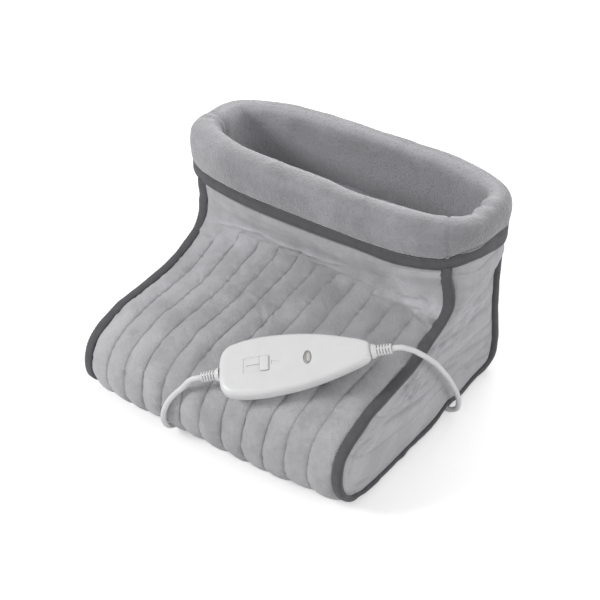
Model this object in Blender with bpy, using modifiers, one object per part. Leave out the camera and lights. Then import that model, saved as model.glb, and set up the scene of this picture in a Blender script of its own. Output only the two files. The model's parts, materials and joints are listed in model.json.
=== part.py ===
"""Electric foot warmer: a quilted boot for both feet, with a slide control on its cord.

Metres, +Z up. The toe points to -Y, the heel to +Y, and the origin is the middle of the
footprint on the floor. Each sewn panel, wire, moulding and screw is its own object.
"""

import math

import bmesh
import bpy
import numpy as np
from mathutils import Matrix, Vector

COLLECTION = "electric_foot_warmer"

# Clearances
gap = 0.0003
band_seat = 0.0011
seam_gap = 0.0006
side_seam_gap = 0.0021
top_drop = 0.0018
overrun = 0.01

# Boot: the seam loop that a binding follows on each side
seam_depth = 0.2941
seam_height = 0.1740
seam_half_width = 0.158
binding_radius = 0.0038
seam_proud = 0.0005
sole_drop = 0.0047

# Collar: a padded ring on an oval that rises a little to the back
collar_half_length = 0.1765
toe_corner_setback = 0.0295
heel_corner_setback = 0.0195
collar_half_depth = 0.0725
collar_exponent = 3.2
collar_from_toe = 0.2388
collar_tilt = 0.0257
collar_height = 0.039
collar_wall = 0.026
collar_bulge = 0.003
collar_cover_thickness = 0.003
foam_clearance = 0.0008
band_height = 0.012
band_thickness = 0.0093
band_proud = 0.0015
binding_end = 0.0016

# Fabric
quilt_thickness = 0.005
side_thickness = 0.0045
sole_thickness = 0.003
lining_thickness = 0.004
toe_crown = 0.009
heel_crown = 0.004
side_crown = 0.004
side_flare_share = 0.4
channel_count = 12
channel_puff = 0.0038
side_channel_count = 6
side_puff = 0.0016
finger_length = 0.014
binding_points = 46
collar_points = 32

# Footbed
wadding_thickness = 0.009
wadding_front = 0.036
wadding_back = 0.018
wadding_side_clearance = 0.0016
carrier_thickness = 0.0008
carrier_side_margin = 0.040
carrier_depth = 0.200
heating_wire_radius = 0.0011
heating_run_pitch = 0.022
heating_run_count = 9
component_height = 0.0036
thermostat_size = (0.0160, 0.0090, component_height)
fuse_size = (0.0120, 0.0036, component_height)
heating_tail_bend = 0.0045
splice_wire_offset = 0.0030
footbed_thickness = 0.004
footbed_front = 0.026
footbed_back = 0.018
toe_taper_share = 0.12
heating_margin = 0.012
component_edge = 0.0004
splice_length = 0.022
splice_half_width = 0.007
splice_height = 0.0085

# Cords
cord_diameter = 0.0055
sole_lift = 0.0074
edge_lift = 0.0085
lift_width = 0.012
lift_fade_height = 0.026
mains_cord_x = -0.052
cord_step = 0.012
lead_entry_y = 0.044
gland_length = 0.016
gland_radius = 0.0036
gland_tip_clearance = 0.0002
gland_taper_share = 0.3

# Control, in its own frame: X towards the warmer lead, Z out of its top face
control_length = 0.148
control_half_width = 0.031
control_height = 0.021
control_wall = 0.002
control_parting_share = 0.58
control_narrow_share = 0.24
control_taper_start_share = 0.35
control_yaw = math.radians(30)
control_pitch = math.radians(15)
control_roll = math.radians(25)
control_x = 0.079
control_y = -0.1025
control_seat_gap = 0.0006

# Slide switch
switch_travel = 0.0165
knob_rest_x = -0.0275
knob_length = 0.0088
knob_half_width = 0.0078
knob_height = 0.0030
knob_edge = 0.0010
stem_half_length = 0.0016
stem_half_width = 0.0014
recess_half_width = 0.0082
recess_depth = 0.0016
recess_margin = 0.0003
switch_body_length = 0.030
switch_body_half_width = 0.0055
switch_body_height = 0.0070
switch_slot_depth = 0.0040
lever_half_length = 0.0030
lever_half_width = 0.0022
lever_height = 0.0050

# Indicator and electronics
lens_x = 0.0141
lens_half_length = 0.0038
lens_half_width = 0.0068
lens_thickness = 0.0028
lens_sink = 0.0007
lamp_radius = 0.0025
lamp_height = 0.0078
board_length = 0.082
board_x = -0.010
board_half_width = 0.0155
board_thickness = 0.0016
board_stand = 0.0022
board_post_radius = 0.0020
board_post_margin = 0.006
triac_size = (0.0100, 0.0080, 0.0044)
triac_place = (0.0205, -0.0100)
capacitor_size = (0.0130, 0.0060, 0.0090)
capacitor_place = (-0.0080, 0.0080)
resistor_radius = 0.0016
resistor_length = 0.0090
resistor_place = (-0.0040, -0.0090)
conductor_radius = 0.0009
conductor_spacing = 0.0028

# Screws of the control, from below into bosses of the top shell
boss_radius = 0.0030
post_radius = 0.0042
screw_head_radius = 0.0026
screw_head_height = 0.0014
screw_radius = 0.0012
screw_length = 0.0120
screw_seat = 0.0042
screw_left_x = -0.060
screw_left_y = 0.012
screw_right_x = 0.050

# Strain reliefs
relief_length = 0.0185
relief_root_radius = 0.0058
relief_tip_radius = 0.0042
relief_rib_count = 5
relief_rib_depth = 0.0011
relief_cone_length = 0.0055
relief_flange_radius = 0.0042
relief_flange_length = 0.0016
relief_neck_radius = 0.0036
relief_land_share = 0.6
relief_groove_share = 0.75

# Coil of the mains cord, behind the heel
coil_layer_turns = 3
coil_radius = 0.0390
coil_pitch_clearance = 0.0005
coil_outer_turns = 3.25
coil_y = 0.206
tie_thickness = 0.0010
tie_half_width = 0.0045
tie_turn_share = 0.375

# Two-pin plug
plug_length = 0.036
plug_half_width = 0.0130
plug_height = 0.0140
plug_edge = 0.0030
pin_radius = 0.0020
pin_length = 0.0190
pin_spacing = 0.0186
pin_seat = 0.0080
plug_y = 0.186
plug_x = -0.005

toe_corner_half_width = collar_half_length - toe_corner_setback
heel_corner_half_width = collar_half_length - heel_corner_setback
toe_y = -(collar_from_toe + collar_half_depth + collar_bulge - toe_crown - seam_proud - channel_puff) / 2
collar_y = toe_y + collar_from_toe
band_z = seam_height + band_seat
collar_z = band_z + band_height + gap
seam_inset = binding_radius + gap
cord_radius = cord_diameter / 2
lining_depth = quilt_thickness + 2 * gap
side_lining_depth = side_thickness + 3 * gap
wadding_z = sole_thickness + gap
carrier_z = wadding_z + wadding_thickness + gap
heating_z = carrier_z + carrier_thickness + gap
footbed_z = heating_z + component_height + gap
side_inset = binding_radius + side_seam_gap
side_lining_inset = quilt_thickness + lining_thickness + 3 * gap
heel_y = toe_y + seam_depth
carrier_half_width = seam_half_width - carrier_side_margin
carrier_y = toe_y + (seam_depth + wadding_front - wadding_back) / 2
wadding_half_width = seam_half_width - side_lining_depth - wadding_side_clearance
lead_gland_x = seam_half_width - binding_radius - gland_length - gap
lead_gland_z = gland_radius + 2 * gap
parting_z = control_parting_share * control_height
board_z = control_wall + board_stand
board_top_z = board_z + board_thickness + gap
recess_z = control_height - recess_depth
relief_neck_length = control_wall + 2 * gap
relief_axis_x = control_length / 2 + gap
coil_pitch = cord_diameter + coil_pitch_clearance
coil_x = mains_cord_x - coil_radius
coil_low_z = tie_thickness + 2 * gap + cord_radius
coil_inner_radius = coil_radius - coil_layer_turns * coil_pitch

# The seam loop from the collar's front corner over the toe, along the floor and up the heel,
# in shares of seam_depth, of the rise from sole_drop to seam_height, and of seam_half_width
SEAM_SHARES = [
    (0.6467, 0.8608, 0.943),
    (0.6450, 0.7422, 0.9525),
    (0.6076, 0.6445, 0.957),
    (0.5362, 0.5912, 0.957),
    (0.4274, 0.5556, 0.957),
    (0.2710, 0.5260, 0.957),
    (0.1486, 0.5024, 0.962),
    (0.0670, 0.4401, 0.968),
    (0.0160, 0.3453, 0.9715),
    (0.0000, 0.2416, 0.973),
    (0.0109, 0.1380, 0.978),
    (0.0500, 0.0521, 0.984),
    (0.1146, 0.0107, 0.994),
    (0.2064, 0.0000, 1.0),
    (0.5000, 0.0000, 1.0),
    (0.8864, 0.0000, 1.0),
    (0.9578, 0.0107, 1.0),
    (0.9918, 0.0669, 1.0),
    (1.0000, 0.1498, 1.0),
    (0.9901, 0.2920, 1.0),
    (0.9748, 0.4756, 0.997),
    (0.9714, 0.6829, 0.994),
    (0.9755, 0.8608, 0.993),
]
TOE_CORNER, TOE_SEAM, HEEL_SEAM, HEEL_CORNER = 11, 13, 17, 18

# Where the rows of the front panel lie from the sole up, of the back panel from the collar
# down, of the sole from heel to toe, and the columns of the side panels from toe to heel
FRONT_ROW_SHARES = [0, 0.015, 0.06, 0.12, 0.17, 0.22, 0.29, 0.38, 0.5, 0.63, 0.75, 0.83, 0.88, 0.93, 1]
BACK_ROW_SHARES = [0, 0.1, 0.3, 0.6, 0.84, 0.93, 0.985, 1]
SOLE_ROW_SHARES = [0, 0.005, 0.02, 0.05, 0.1, 0.5, 0.88, 0.94, 0.99, 1]
LINING_FRONT_START, LINING_BACK_END = 4, 4
SIDE_COLUMN_SHARES = [0, 0.08, 0.17, 0.26, 0.36, 0.47, 0.57, 0.615, 0.65, 0.685, 0.73, 0.8, 0.9, 1]
SIDE_LINING_ROW_SHARES = [0, 0.2, 0.4, 0.52, 0.62, 0.7, 0.78, 0.88, 1]
SOLE_COLUMN_SHARES = [0, 0.09, 0.18, 0.25, 0.29, 0.33, 0.37, 0.41, 0.5, 0.62, 0.75, 0.88, 1]
FOOTBED_ROW_SHARES = [0, 0.5, 0.85, 0.9, 0.95, 1]

# How far the front panel crowns along its height, from the sole seam to the collar,
# in shares of toe_crown; the last step to the collar follows the oval
FRONT_CROWN_SHARES = [(0, 0.25), (0.07, 0.68), (0.16, 1.0), (0.5, 0.9), (0.8, 1.1)]

# Collar and band sections, in shares of the half wall and of the height
COLLAR_SECTION_SHARES = [
    (0.90, 0.0),
    (1.0, 0.34),
    (0.97, 0.66),
    (0.66, 0.92),
    (0.0, 1.0),
    (-0.66, 0.92),
    (-0.97, 0.66),
    (-1.0, 0.34),
    (-0.96, 0.0),
]
BAND_SECTION_SHARES = [(1, 0.2), (1, 0.8), (0.7, 1), (-1, 1), (-1, 0), (0.7, 0)]

# Half outline of the control, in shares of its length and of its half width
CONTROL_SHARES = [
    (-0.500, 0.00),
    (-0.497, 0.36),
    (-0.480, 0.64),
    (-0.445, 0.82),
    (-0.370, 0.93),
    (-0.240, 1.00),
    (-0.080, 0.98),
    (0.080, 0.89),
    (0.230, 0.73),
    (0.360, 0.54),
    (0.450, 0.38),
    (0.485, 0.28),
    (0.500, 0.12),
    (0.500, 0.00),
]

# Rings of the control's two shells, in shares of the height from the parting plane
# and of the half width that they are drawn in by
TOP_SHELL_SHARES = [(0, 0), (0.08, 0), (0.42, 0.013), (0.72, 0.052), (0.92, 0.135), (1, 0.258)]
BOTTOM_SHELL_SHARES = [(0, 0), (0.07, 0), (0.35, 0.032), (0.68, 0.110), (0.92, 0.242), (1, 0.371)]

# Routes of the control's inner wires: x, y and the share of the rise from the board to the cord
MAINS_WIRE_ROUTE = [
    (-0.0640, 0.0035, 0.9),
    (-0.0580, 0.0052, 0.5),
    (-0.0535, 0.0070, 0.2),
    (-0.0500, 0.0084, 0.0),
    (-0.0460, 0.0090, 0.0),
]
LEAD_WIRE_ROUTE = [
    (0.0620, 0.0040, 0.92),
    (0.0550, 0.0068, 0.76),
    (0.0500, 0.0074, 0.62),
    (0.0440, 0.0070, 0.42),
    (0.0360, 0.0068, 0.18),
    (0.0285, 0.0068, 0.0),
]

# Routes of the free cords, chosen by hand
MAINS_ROUTE = [
    (-0.0110, -0.1570, 0.0855),
    (-0.0215, -0.1595, 0.0755),
    (-0.0280, -0.1625, 0.0670),
    (-0.0335, -0.1655, 0.0575),
    (-0.0370, -0.1675, 0.0475),
    (-0.0400, -0.1665, 0.0370),
    (-0.0425, -0.1620, 0.0255),
    (-0.0450, -0.1545, 0.0150),
    (-0.0475, -0.1440, 0.0070),
    (-0.0500, -0.1300, 0.0036),
    (-0.0520, -0.1120, 0.0032),
    (-0.0520, 0.0000, 0.0032),
    (-0.0520, 0.1500, 0.0032),
]
PLUG_ROUTE = [
    (-0.0600, 0.1680, 0.0110),
    (-0.0400, 0.1740, 0.0095),
]
LEAD_ROUTE = [
    (0.1702, -0.0520, 0.1425),
    (0.1722, -0.0380, 0.1300),
    (0.1735, -0.0235, 0.1160),
    (0.1745, -0.0094, 0.1010),
    (0.1752, 0.0035, 0.0845),
    (0.1757, 0.0155, 0.0685),
    (0.1758, 0.0270, 0.0510),
    (0.1757, 0.0370, 0.0345),
    (0.1753, 0.0430, 0.0185),
    (0.1717, 0.0455, 0.0070),
    (0.1640, 0.0445, 0.0034),
]


def clear_scene():
    for obj in list(bpy.data.objects):
        bpy.data.objects.remove(obj, do_unlink=True)


def new_collection(name):
    collection = bpy.data.collections.new(name)
    bpy.context.scene.collection.children.link(collection)
    return collection


def new_material(name, color, roughness, metallic=0.0):
    material = bpy.data.materials.new(name)
    material.use_nodes = True
    shader = material.node_tree.nodes["Principled BSDF"]
    shader.inputs["Base Color"].default_value = (*color, 1.0)
    shader.inputs["Roughness"].default_value = roughness
    shader.inputs["Metallic"].default_value = metallic
    return material


clear_scene()
parts = new_collection(COLLECTION)
cutters = new_collection("cutters")
cutters.hide_render = True

fabric = new_material("fabric", (0.46, 0.46, 0.49), 0.95)
plush = new_material("plush", (0.42, 0.42, 0.44), 1.0)
binding_tape = new_material("binding_tape", (0.09, 0.09, 0.095), 0.9)
sole_cloth = new_material("sole_cloth", (0.13, 0.13, 0.14), 0.95)
wadding = new_material("wadding", (0.85, 0.85, 0.84), 1.0)
foam = new_material("foam", (0.82, 0.80, 0.70), 1.0)
felt = new_material("felt", (0.72, 0.70, 0.66), 1.0)
heater_sleeve = new_material("heater_sleeve", (0.75, 0.30, 0.20), 0.5)
white_plastic = new_material("white_plastic", (0.80, 0.80, 0.80), 0.35)
cord_plastic = new_material("cord_plastic", (0.78, 0.78, 0.79), 0.5)
lens_plastic = new_material("lens_plastic", (0.50, 0.48, 0.46), 0.2)
board_laminate = new_material("board_laminate", (0.05, 0.20, 0.09), 0.5)
black_plastic = new_material("black_plastic", (0.03, 0.03, 0.03), 0.5)
steel = new_material("steel", (0.60, 0.60, 0.60), 0.3, 1.0)
brass = new_material("brass", (0.75, 0.62, 0.38), 0.3, 1.0)


def smooth_path(knots, count, ways=None):
    """Evenly spaced points on a smooth curve through the knots, with these directions at its ends."""
    knots = np.array(knots, dtype=float)
    at = np.concatenate([[0], np.cumsum(np.linalg.norm(np.diff(knots, axis=0), axis=1))])
    slopes = np.gradient(knots, at, axis=0)
    if ways:
        slopes[0], slopes[-1] = ways
    targets = np.linspace(0, at[-1], 40 * len(knots))
    first = np.clip(np.searchsorted(at, targets, side="right") - 1, 0, len(knots) - 2)
    span = (at[first + 1] - at[first])[:, None]
    t = (targets - at[first])[:, None] / span
    start_weight = 2 * t**3 - 3 * t**2 + 1
    curve = start_weight * knots[first] + (1 - start_weight) * knots[first + 1]
    curve += span * ((t**3 - 2 * t**2 + t) * slopes[first] + (t**3 - t**2) * slopes[first + 1])
    return spaced(curve, count)


def lengths_along(points):
    return np.concatenate([[0], np.cumsum(np.linalg.norm(np.diff(points, axis=0), axis=1))])


def spaced(points, count):
    """The same polyline with its points at even distances."""
    at = lengths_along(points)
    targets = np.linspace(0, at[-1], count)
    return np.stack([np.interp(targets, at, points[:, k]) for k in range(points.shape[1])], axis=1)


def sample(path, share):
    """The point at a share of an evenly spaced path."""
    place = min(max(share, 0), 1) * (len(path) - 1)
    low = min(int(place), len(path) - 2)
    return path[low] + (place - low) * (path[low + 1] - path[low])


def oval_share(share):
    """The height of the unit superellipse at a share of its half length."""
    return (1 - abs(share) ** collar_exponent) ** (1 / collar_exponent)


def collar_rise(y):
    return collar_tilt * (y - collar_y)


def oval_corner(half_width, side):
    y = collar_y + side * collar_half_depth * oval_share(half_width / collar_half_length)
    return (half_width, y, seam_height + collar_rise(y))


def oval_path(count):
    """The collar's oval from +X round through +Y, evenly spaced and closed."""
    turns = np.linspace(0, 2 * math.pi, 40 * count + 1)
    power = 2 / collar_exponent
    x = collar_half_length * np.sign(np.cos(turns)) * np.abs(np.cos(turns)) ** power
    y = collar_half_depth * np.sign(np.sin(turns)) * np.abs(np.sin(turns)) ** power
    return spaced(np.stack([x, collar_y + y], axis=1), count + 1)


def build_seam():
    """The seam loop on the +X side and the share of its length at each knot."""
    knots = [oval_corner(toe_corner_half_width, -1)]
    for along, up, out in SEAM_SHARES:
        z = sole_drop + up * (seam_height - sole_drop)
        knots.append((out * seam_half_width, toe_y + along * seam_depth, z))
    knots.append(oval_corner(heel_corner_half_width, 1))
    at = lengths_along(np.array(knots))
    path = smooth_path(knots, 1200)
    path[:, 2] = np.maximum(path[:, 2], min(knot[2] for knot in knots))
    return path, at / at[-1]


seam, marks = build_seam()
seam_runs = np.gradient(seam[:, 1:], axis=0)
seam_runs /= np.linalg.norm(seam_runs, axis=1)[:, None]
seam_normals = np.stack([seam_runs[:, 1], -seam_runs[:, 0]], axis=1)


def lift_over_cord(distance, height, lift):
    """How far soft fabric near the floor is raised where it lies on a cord."""
    return lift * math.exp(-((distance / lift_width) ** 2) / 2) * max(0, 1 - height / lift_fade_height)


def swell(share, corner_share):
    """A crown that is flat in the middle and falls to zero at the corners."""
    low = oval_share(corner_share)
    return (oval_share(share * corner_share) - low) / (1 - low)


def channel(share, count):
    """The puff of sewn channels, from 0 on a seam to 1 in the middle."""
    return abs(math.sin(math.pi * count * share)) ** 0.7


def eased(value):
    value = min(max(value, 0), 1)
    return value * value * (3 - 2 * value)


def front_crown(side, v):
    """How far the front panel stands out of the seam loop, before its channels."""
    corner_share = toe_corner_half_width / collar_half_length
    shares = [row[0] for row in FRONT_CROWN_SHARES] + [1]
    to_oval = collar_half_depth * (1 - oval_share(corner_share))
    crowns = [row[1] * toe_crown for row in FRONT_CROWN_SHARES] + [to_oval]
    under = (sole_drop - seam_proud) * (1 - eased(v / 0.12))
    return seam_proud + under + np.interp(v, shares, crowns) * swell(side, corner_share)


def front_rise(side, v):
    finger_end = 0.90 + 0.02 * (1 - side * side)
    front_length = marks[TOE_SEAM] * seam_length
    puff = channel_puff * eased((finger_end - v) * front_length / finger_length) * min(1, v / 0.06)
    return front_crown(side, v) + puff * channel((side + 1) / 2, channel_count)


def back_crown(side, v):
    """How far the back panel stands out of the seam loop, from the collar at v = 0 down."""
    corner_share = heel_corner_half_width / collar_half_length
    to_oval = collar_half_depth * (1 - oval_share(corner_share))
    crown = heel_crown * math.sin(math.pi * v) + to_oval * (1 - v) ** 3
    under = (sole_drop - seam_proud) * eased((v - 0.9) / 0.1)
    return seam_proud + under + crown * swell(side, corner_share)


def back_rise(side, v):
    puff = channel_puff * eased(v / 0.12) * eased((1 - v) / 0.12)
    return back_crown(side, v) + puff * channel((side + 1) / 2, channel_count)


def sole_rise(side, v):
    return sole_drop


def wrap(first, last, rise, inset=seam_inset):
    """The face of a panel across the boot, between two marks of the seam loop."""

    def place(u, v):
        share = first + v * (last - first)
        edge = sample(seam, share)
        normal = sample(seam_normals, share)
        x = (2 * u - 1) * (edge[0] - inset)
        out = rise(x / (edge[0] - seam_inset), v)
        y = edge[1] + out * normal[0]
        z = max(edge[2] + out * normal[1], 0)
        z += collar_tilt * (y - edge[1]) * eased((z / seam_height - 0.9) / 0.1)
        z += lift_over_cord(x - mains_cord_x, z, sole_lift)
        return Vector((x, y, z))

    return place


def side_surface(side, inset, puffed=True):
    """The face of a side panel, this far inside the seam loop and below the oval."""
    inner = seam.copy()
    inner[:, 1:] -= inset * seam_normals
    top = oval_arc(inset)

    def place(u, v):
        left = sample(inner, marks[TOE_CORNER] * (1 - v))
        right = sample(inner, marks[HEEL_CORNER] + v * (1 - marks[HEEL_CORNER]))
        low = sample(inner, marks[TOE_CORNER] + u * (marks[HEEL_CORNER] - marks[TOE_CORNER]))
        high = sample(top, u)
        flat_x = (1 - u) * top[0][0] + u * top[-1][0]
        out = (high[0] - flat_x) * eased((v - side_flare_share) / (1 - side_flare_share))
        high = np.array([flat_x, high[1], high[2]])
        corners = (1 - u) * (1 - v) * sample(inner, marks[TOE_CORNER])
        corners = corners + u * (1 - v) * sample(inner, marks[HEEL_CORNER])
        corners = corners + (1 - u) * v * top[0] + u * v * top[-1]
        point = (1 - u) * left + u * right + (1 - v) * low + v * high - corners
        crown = side_crown * math.sin(math.pi * u) * math.sin(math.pi * v)
        puff = side_puff * channel(v, side_channel_count) * eased(u / 0.08) * eased((1 - u) / 0.08)
        x = point[0] + out + crown + puffed * puff * eased((1 - v) / 0.1)
        z = min(point[2], seam_height - top_drop + collar_rise(point[1]))
        if side > 0:
            z += lift_over_cord(point[1] - lead_entry_y, z - inset, edge_lift)
        return Vector((side * x, point[1], z))

    return place


def oval_arc(inset):
    """The oval between the two corners on the +X side, pulled in from both by the inset."""
    start = np.array(oval_corner(toe_corner_half_width, -1))
    end = np.array(oval_corner(heel_corner_half_width, 1))
    ring = oval_path(400)
    ring = np.concatenate([ring[200:-1], ring[:201]])
    keep = (ring[:, 0] > 0) & (ring[:, 1] > start[1]) & (ring[:, 1] < end[1])
    arc = np.vstack([start[:2], ring[keep], end[:2]])
    at = lengths_along(arc)
    shares = np.linspace(inset, at[-1] - inset, 60)
    arc = np.stack([np.interp(shares, at, arc[:, k]) for k in range(2)], axis=1)
    return np.column_stack([arc, seam_height - top_drop + collar_rise(arc[:, 1])])


def finish(obj, material, smooth=True):
    obj.data.materials.clear()
    obj.data.materials.append(material)
    if smooth and obj.type == "MESH":
        obj.data.shade_smooth()
    return obj


def mesh_object(name, bm, material, parent=None, collection=None):
    mesh = bpy.data.meshes.new(name)
    bm.to_mesh(mesh)
    bm.free()
    obj = bpy.data.objects.new(name, mesh)
    (collection or parts).objects.link(obj)
    obj.parent = parent
    return finish(obj, material)


def mapped_grid(place, columns, rows):
    """A grid whose points go where place(u, v) puts them; doubles along a closed edge merge."""
    bm = bmesh.new()
    bmesh.ops.create_grid(bm, x_segments=len(columns) - 1, y_segments=len(rows) - 1, size=0.5)
    for vert in bm.verts:
        column = round((vert.co.x + 0.5) * (len(columns) - 1))
        row = round((vert.co.y + 0.5) * (len(rows) - 1))
        vert.co = place(columns[column], rows[row])
    return bm


def even(count):
    return [index / count for index in range(count + 1)]


def sheet(name, place, columns, rows, thickness, material, flip=False, depth=0.0):
    """A cloth panel: a mapped grid thickened to its inner side, from this deep inside its face."""
    bm = mapped_grid(place, columns, rows)
    if flip:
        bmesh.ops.reverse_faces(bm, faces=bm.faces)
    obj = mesh_object(name, bm, material)
    solidify = obj.modifiers.new("thickness", "SOLIDIFY")
    solidify.thickness = thickness
    solidify.offset = -1 - 2 * depth / thickness
    return obj


def slab(name, place, columns, rows, top, material):
    """A block with a flat top whose underside follows place(u, v)."""
    bm = mapped_grid(place, columns, rows)
    bottom = list(bm.faces)
    raised = bmesh.ops.extrude_face_region(bm, geom=bottom)
    for vert in raised["geom"]:
        if isinstance(vert, bmesh.types.BMVert):
            vert.co.z = top
    bmesh.ops.recalc_face_normals(bm, faces=bm.faces)
    return mesh_object(name, bm, material)


def ring(name, section, base_z, count, material, thickness=None):
    """A section (outwards, up) carried round the collar's oval; open with a thickness, else closed."""
    path = oval_path(count)
    runs = np.gradient(np.vstack([path[-2], path, path[1]]), axis=0)[1:-1]
    normals = np.stack([runs[:, 1], -runs[:, 0]], axis=1) / np.linalg.norm(runs, axis=1)[:, None]
    loop = section if thickness else section + section[:1]

    def place(u, v):
        index = round(u * count)
        out, up = loop[round(v * (len(loop) - 1))]
        x, y = path[index] + out * normals[index]
        return Vector((x, y, base_z + collar_rise(y) + up))

    bm = mapped_grid(place, even(count), even(len(loop) - 1))
    bmesh.ops.remove_doubles(bm, verts=bm.verts, dist=gap / 10)
    obj = mesh_object(name, bm, material)
    if thickness:
        solidify = obj.modifiers.new("thickness", "SOLIDIFY")
        solidify.thickness = thickness
        solidify.offset = -1
    return obj


def tube(name, points, radius, material, sides_step=2, cyclic=False, parent=None):
    """A round tube along the points, closed at both ends or joined into a loop."""
    curve = bpy.data.curves.new(name, "CURVE")
    curve.dimensions = "3D"
    spline = curve.splines.new("POLY")
    spline.points.add(len(points) - 1)
    for target, point in zip(spline.points, points):
        target.co = (*point, 1.0)
    spline.use_cyclic_u = cyclic
    curve.bevel_depth = radius
    curve.bevel_resolution = sides_step
    curve.use_fill_caps = not cyclic
    obj = bpy.data.objects.new(name, curve)
    parts.objects.link(obj)
    obj.parent = parent
    return finish(obj, material)


def box(name, low, high, material, parent=None, edge=0.0, collection=None, segments=1):
    bm = bmesh.new()
    bmesh.ops.create_cube(bm, size=1.0)
    low, high = Vector(low), Vector(high)
    for vert in bm.verts:
        share = vert.co + Vector((0.5, 0.5, 0.5))
        vert.co = Vector(low[k] + share[k] * (high[k] - low[k]) for k in range(3))
    obj = mesh_object(name, bm, material, parent, collection)
    if edge:
        bevel = obj.modifiers.new("edges", "BEVEL")
        bevel.width = edge
        bevel.segments = segments
    return obj


def cylinder(name, centre, radius, low, high, material, axis="Z", sides=12, parent=None, collection=None):
    """A cylinder about a line through centre, from low to high along its axis."""
    bm = bmesh.new()
    depth = high - low
    bmesh.ops.create_cone(bm, cap_ends=True, segments=sides, radius1=radius, radius2=radius, depth=depth)
    turn = Matrix.Rotation(math.pi / 2, 4, "Y") if axis == "X" else Matrix.Identity(4)
    middle = (low + high) / 2
    offset = Vector((middle, 0, 0)) if axis == "X" else Vector((0, 0, middle))
    bmesh.ops.transform(bm, matrix=Matrix.Translation(Vector(centre) + offset) @ turn, verts=bm.verts)
    return mesh_object(name, bm, material, parent, collection)


def cut(obj, cutter, operation="DIFFERENCE"):
    cutter.hide_render = True
    cutter.display_type = "WIRE"
    boolean = obj.modifiers.new(cutter.name, "BOOLEAN")
    boolean.operation = operation
    boolean.solver = "EXACT"
    boolean.object = cutter


def turned(name, profile, material, parent=None, matrix=None, steps=10):
    """A profile of (radius, height), from its top on the axis down to its bottom, turned round Z."""
    bm = bmesh.new()
    verts = [bm.verts.new((radius, 0, height)) for radius, height in profile]
    for first, second in zip(verts, verts[1:]):
        bm.edges.new((first, second))
    obj = mesh_object(name, bm, material, parent)
    screw = obj.modifiers.new("turn", "SCREW")
    screw.steps = steps
    screw.render_steps = steps
    screw.use_merge_vertices = True
    screw.merge_threshold = gap / 10
    if matrix is not None:
        obj.matrix_local = matrix
    return obj


seam_length = lengths_along(seam)[-1]


def make_panels():
    columns = even(3 * channel_count)
    sheet(
        "front_panel",
        wrap(marks[TOE_SEAM] - seam_gap / seam_length, 0, front_rise),
        columns,
        FRONT_ROW_SHARES,
        quilt_thickness,
        fabric,
    )
    back_columns = even(2 * channel_count)
    sheet(
        "back_panel",
        wrap(1, marks[HEEL_SEAM] + seam_gap / seam_length, back_rise),
        back_columns,
        BACK_ROW_SHARES,
        quilt_thickness,
        fabric,
    )
    for side, word in ((1, "right"), (-1, "left")):
        sheet(
            "side_panel_" + word,
            side_surface(side, side_inset),
            SIDE_COLUMN_SHARES,
            even(2 * side_channel_count),
            side_thickness,
            fabric,
            flip=side < 0,
        )


def make_bindings():
    end = binding_end / seam_length
    path = np.array([sample(seam, end + share * (1 - 2 * end)) for share in even(binding_points)])
    for side, word in ((1, "right"), (-1, "left")):
        points = []
        for x, y, z in path:
            if side > 0:
                z += lift_over_cord(y - lead_entry_y, z, edge_lift)
            points.append((side * x, y, z))
        tube("binding_" + word, points, binding_radius, binding_tape, sides_step=1)


def make_collar():
    half = collar_wall / 2
    middle = collar_bulge - half
    cover = [(middle + out * half, up * collar_height) for out, up in COLLAR_SECTION_SHARES]
    ring("collar_cover", cover, collar_z, collar_points, plush, collar_cover_thickness)
    inner_half = half - collar_cover_thickness - foam_clearance
    inner_height = collar_height - collar_cover_thickness - foam_clearance
    core = [(middle + out * inner_half, up * inner_height) for out, up in COLLAR_SECTION_SHARES]
    ring("collar_foam", core, collar_z, collar_points, foam)
    band_middle = band_proud - band_thickness / 2
    band = [(band_middle + out * band_thickness / 2, up * band_height) for out, up in BAND_SECTION_SHARES]
    ring("collar_binding", band, band_z, collar_points, binding_tape)


def make_lining():
    columns = even(channel_count - 2)
    top = top_drop / seam_length
    front = wrap(marks[TOE_SEAM] - seam_gap / seam_length, top, front_crown, side_lining_depth)
    rows = FRONT_ROW_SHARES[LINING_FRONT_START:]
    sheet("lining_front", front, columns, rows, lining_thickness, plush, depth=lining_depth)
    back = wrap(1 - top, marks[HEEL_SEAM] + seam_gap / seam_length, back_crown, side_lining_depth)
    rows = BACK_ROW_SHARES[: LINING_BACK_END + 1]
    sheet("lining_back", back, columns, rows, lining_thickness, plush, depth=lining_depth)
    for side, word in ((1, "right"), (-1, "left")):
        face = side_surface(side, side_lining_inset, puffed=False)
        sheet(
            "lining_" + word,
            face,
            SIDE_COLUMN_SHARES[::2] + SIDE_COLUMN_SHARES[-1:],
            SIDE_LINING_ROW_SHARES,
            lining_thickness,
            plush,
            flip=side < 0,
            depth=side_lining_depth,
        )


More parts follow.
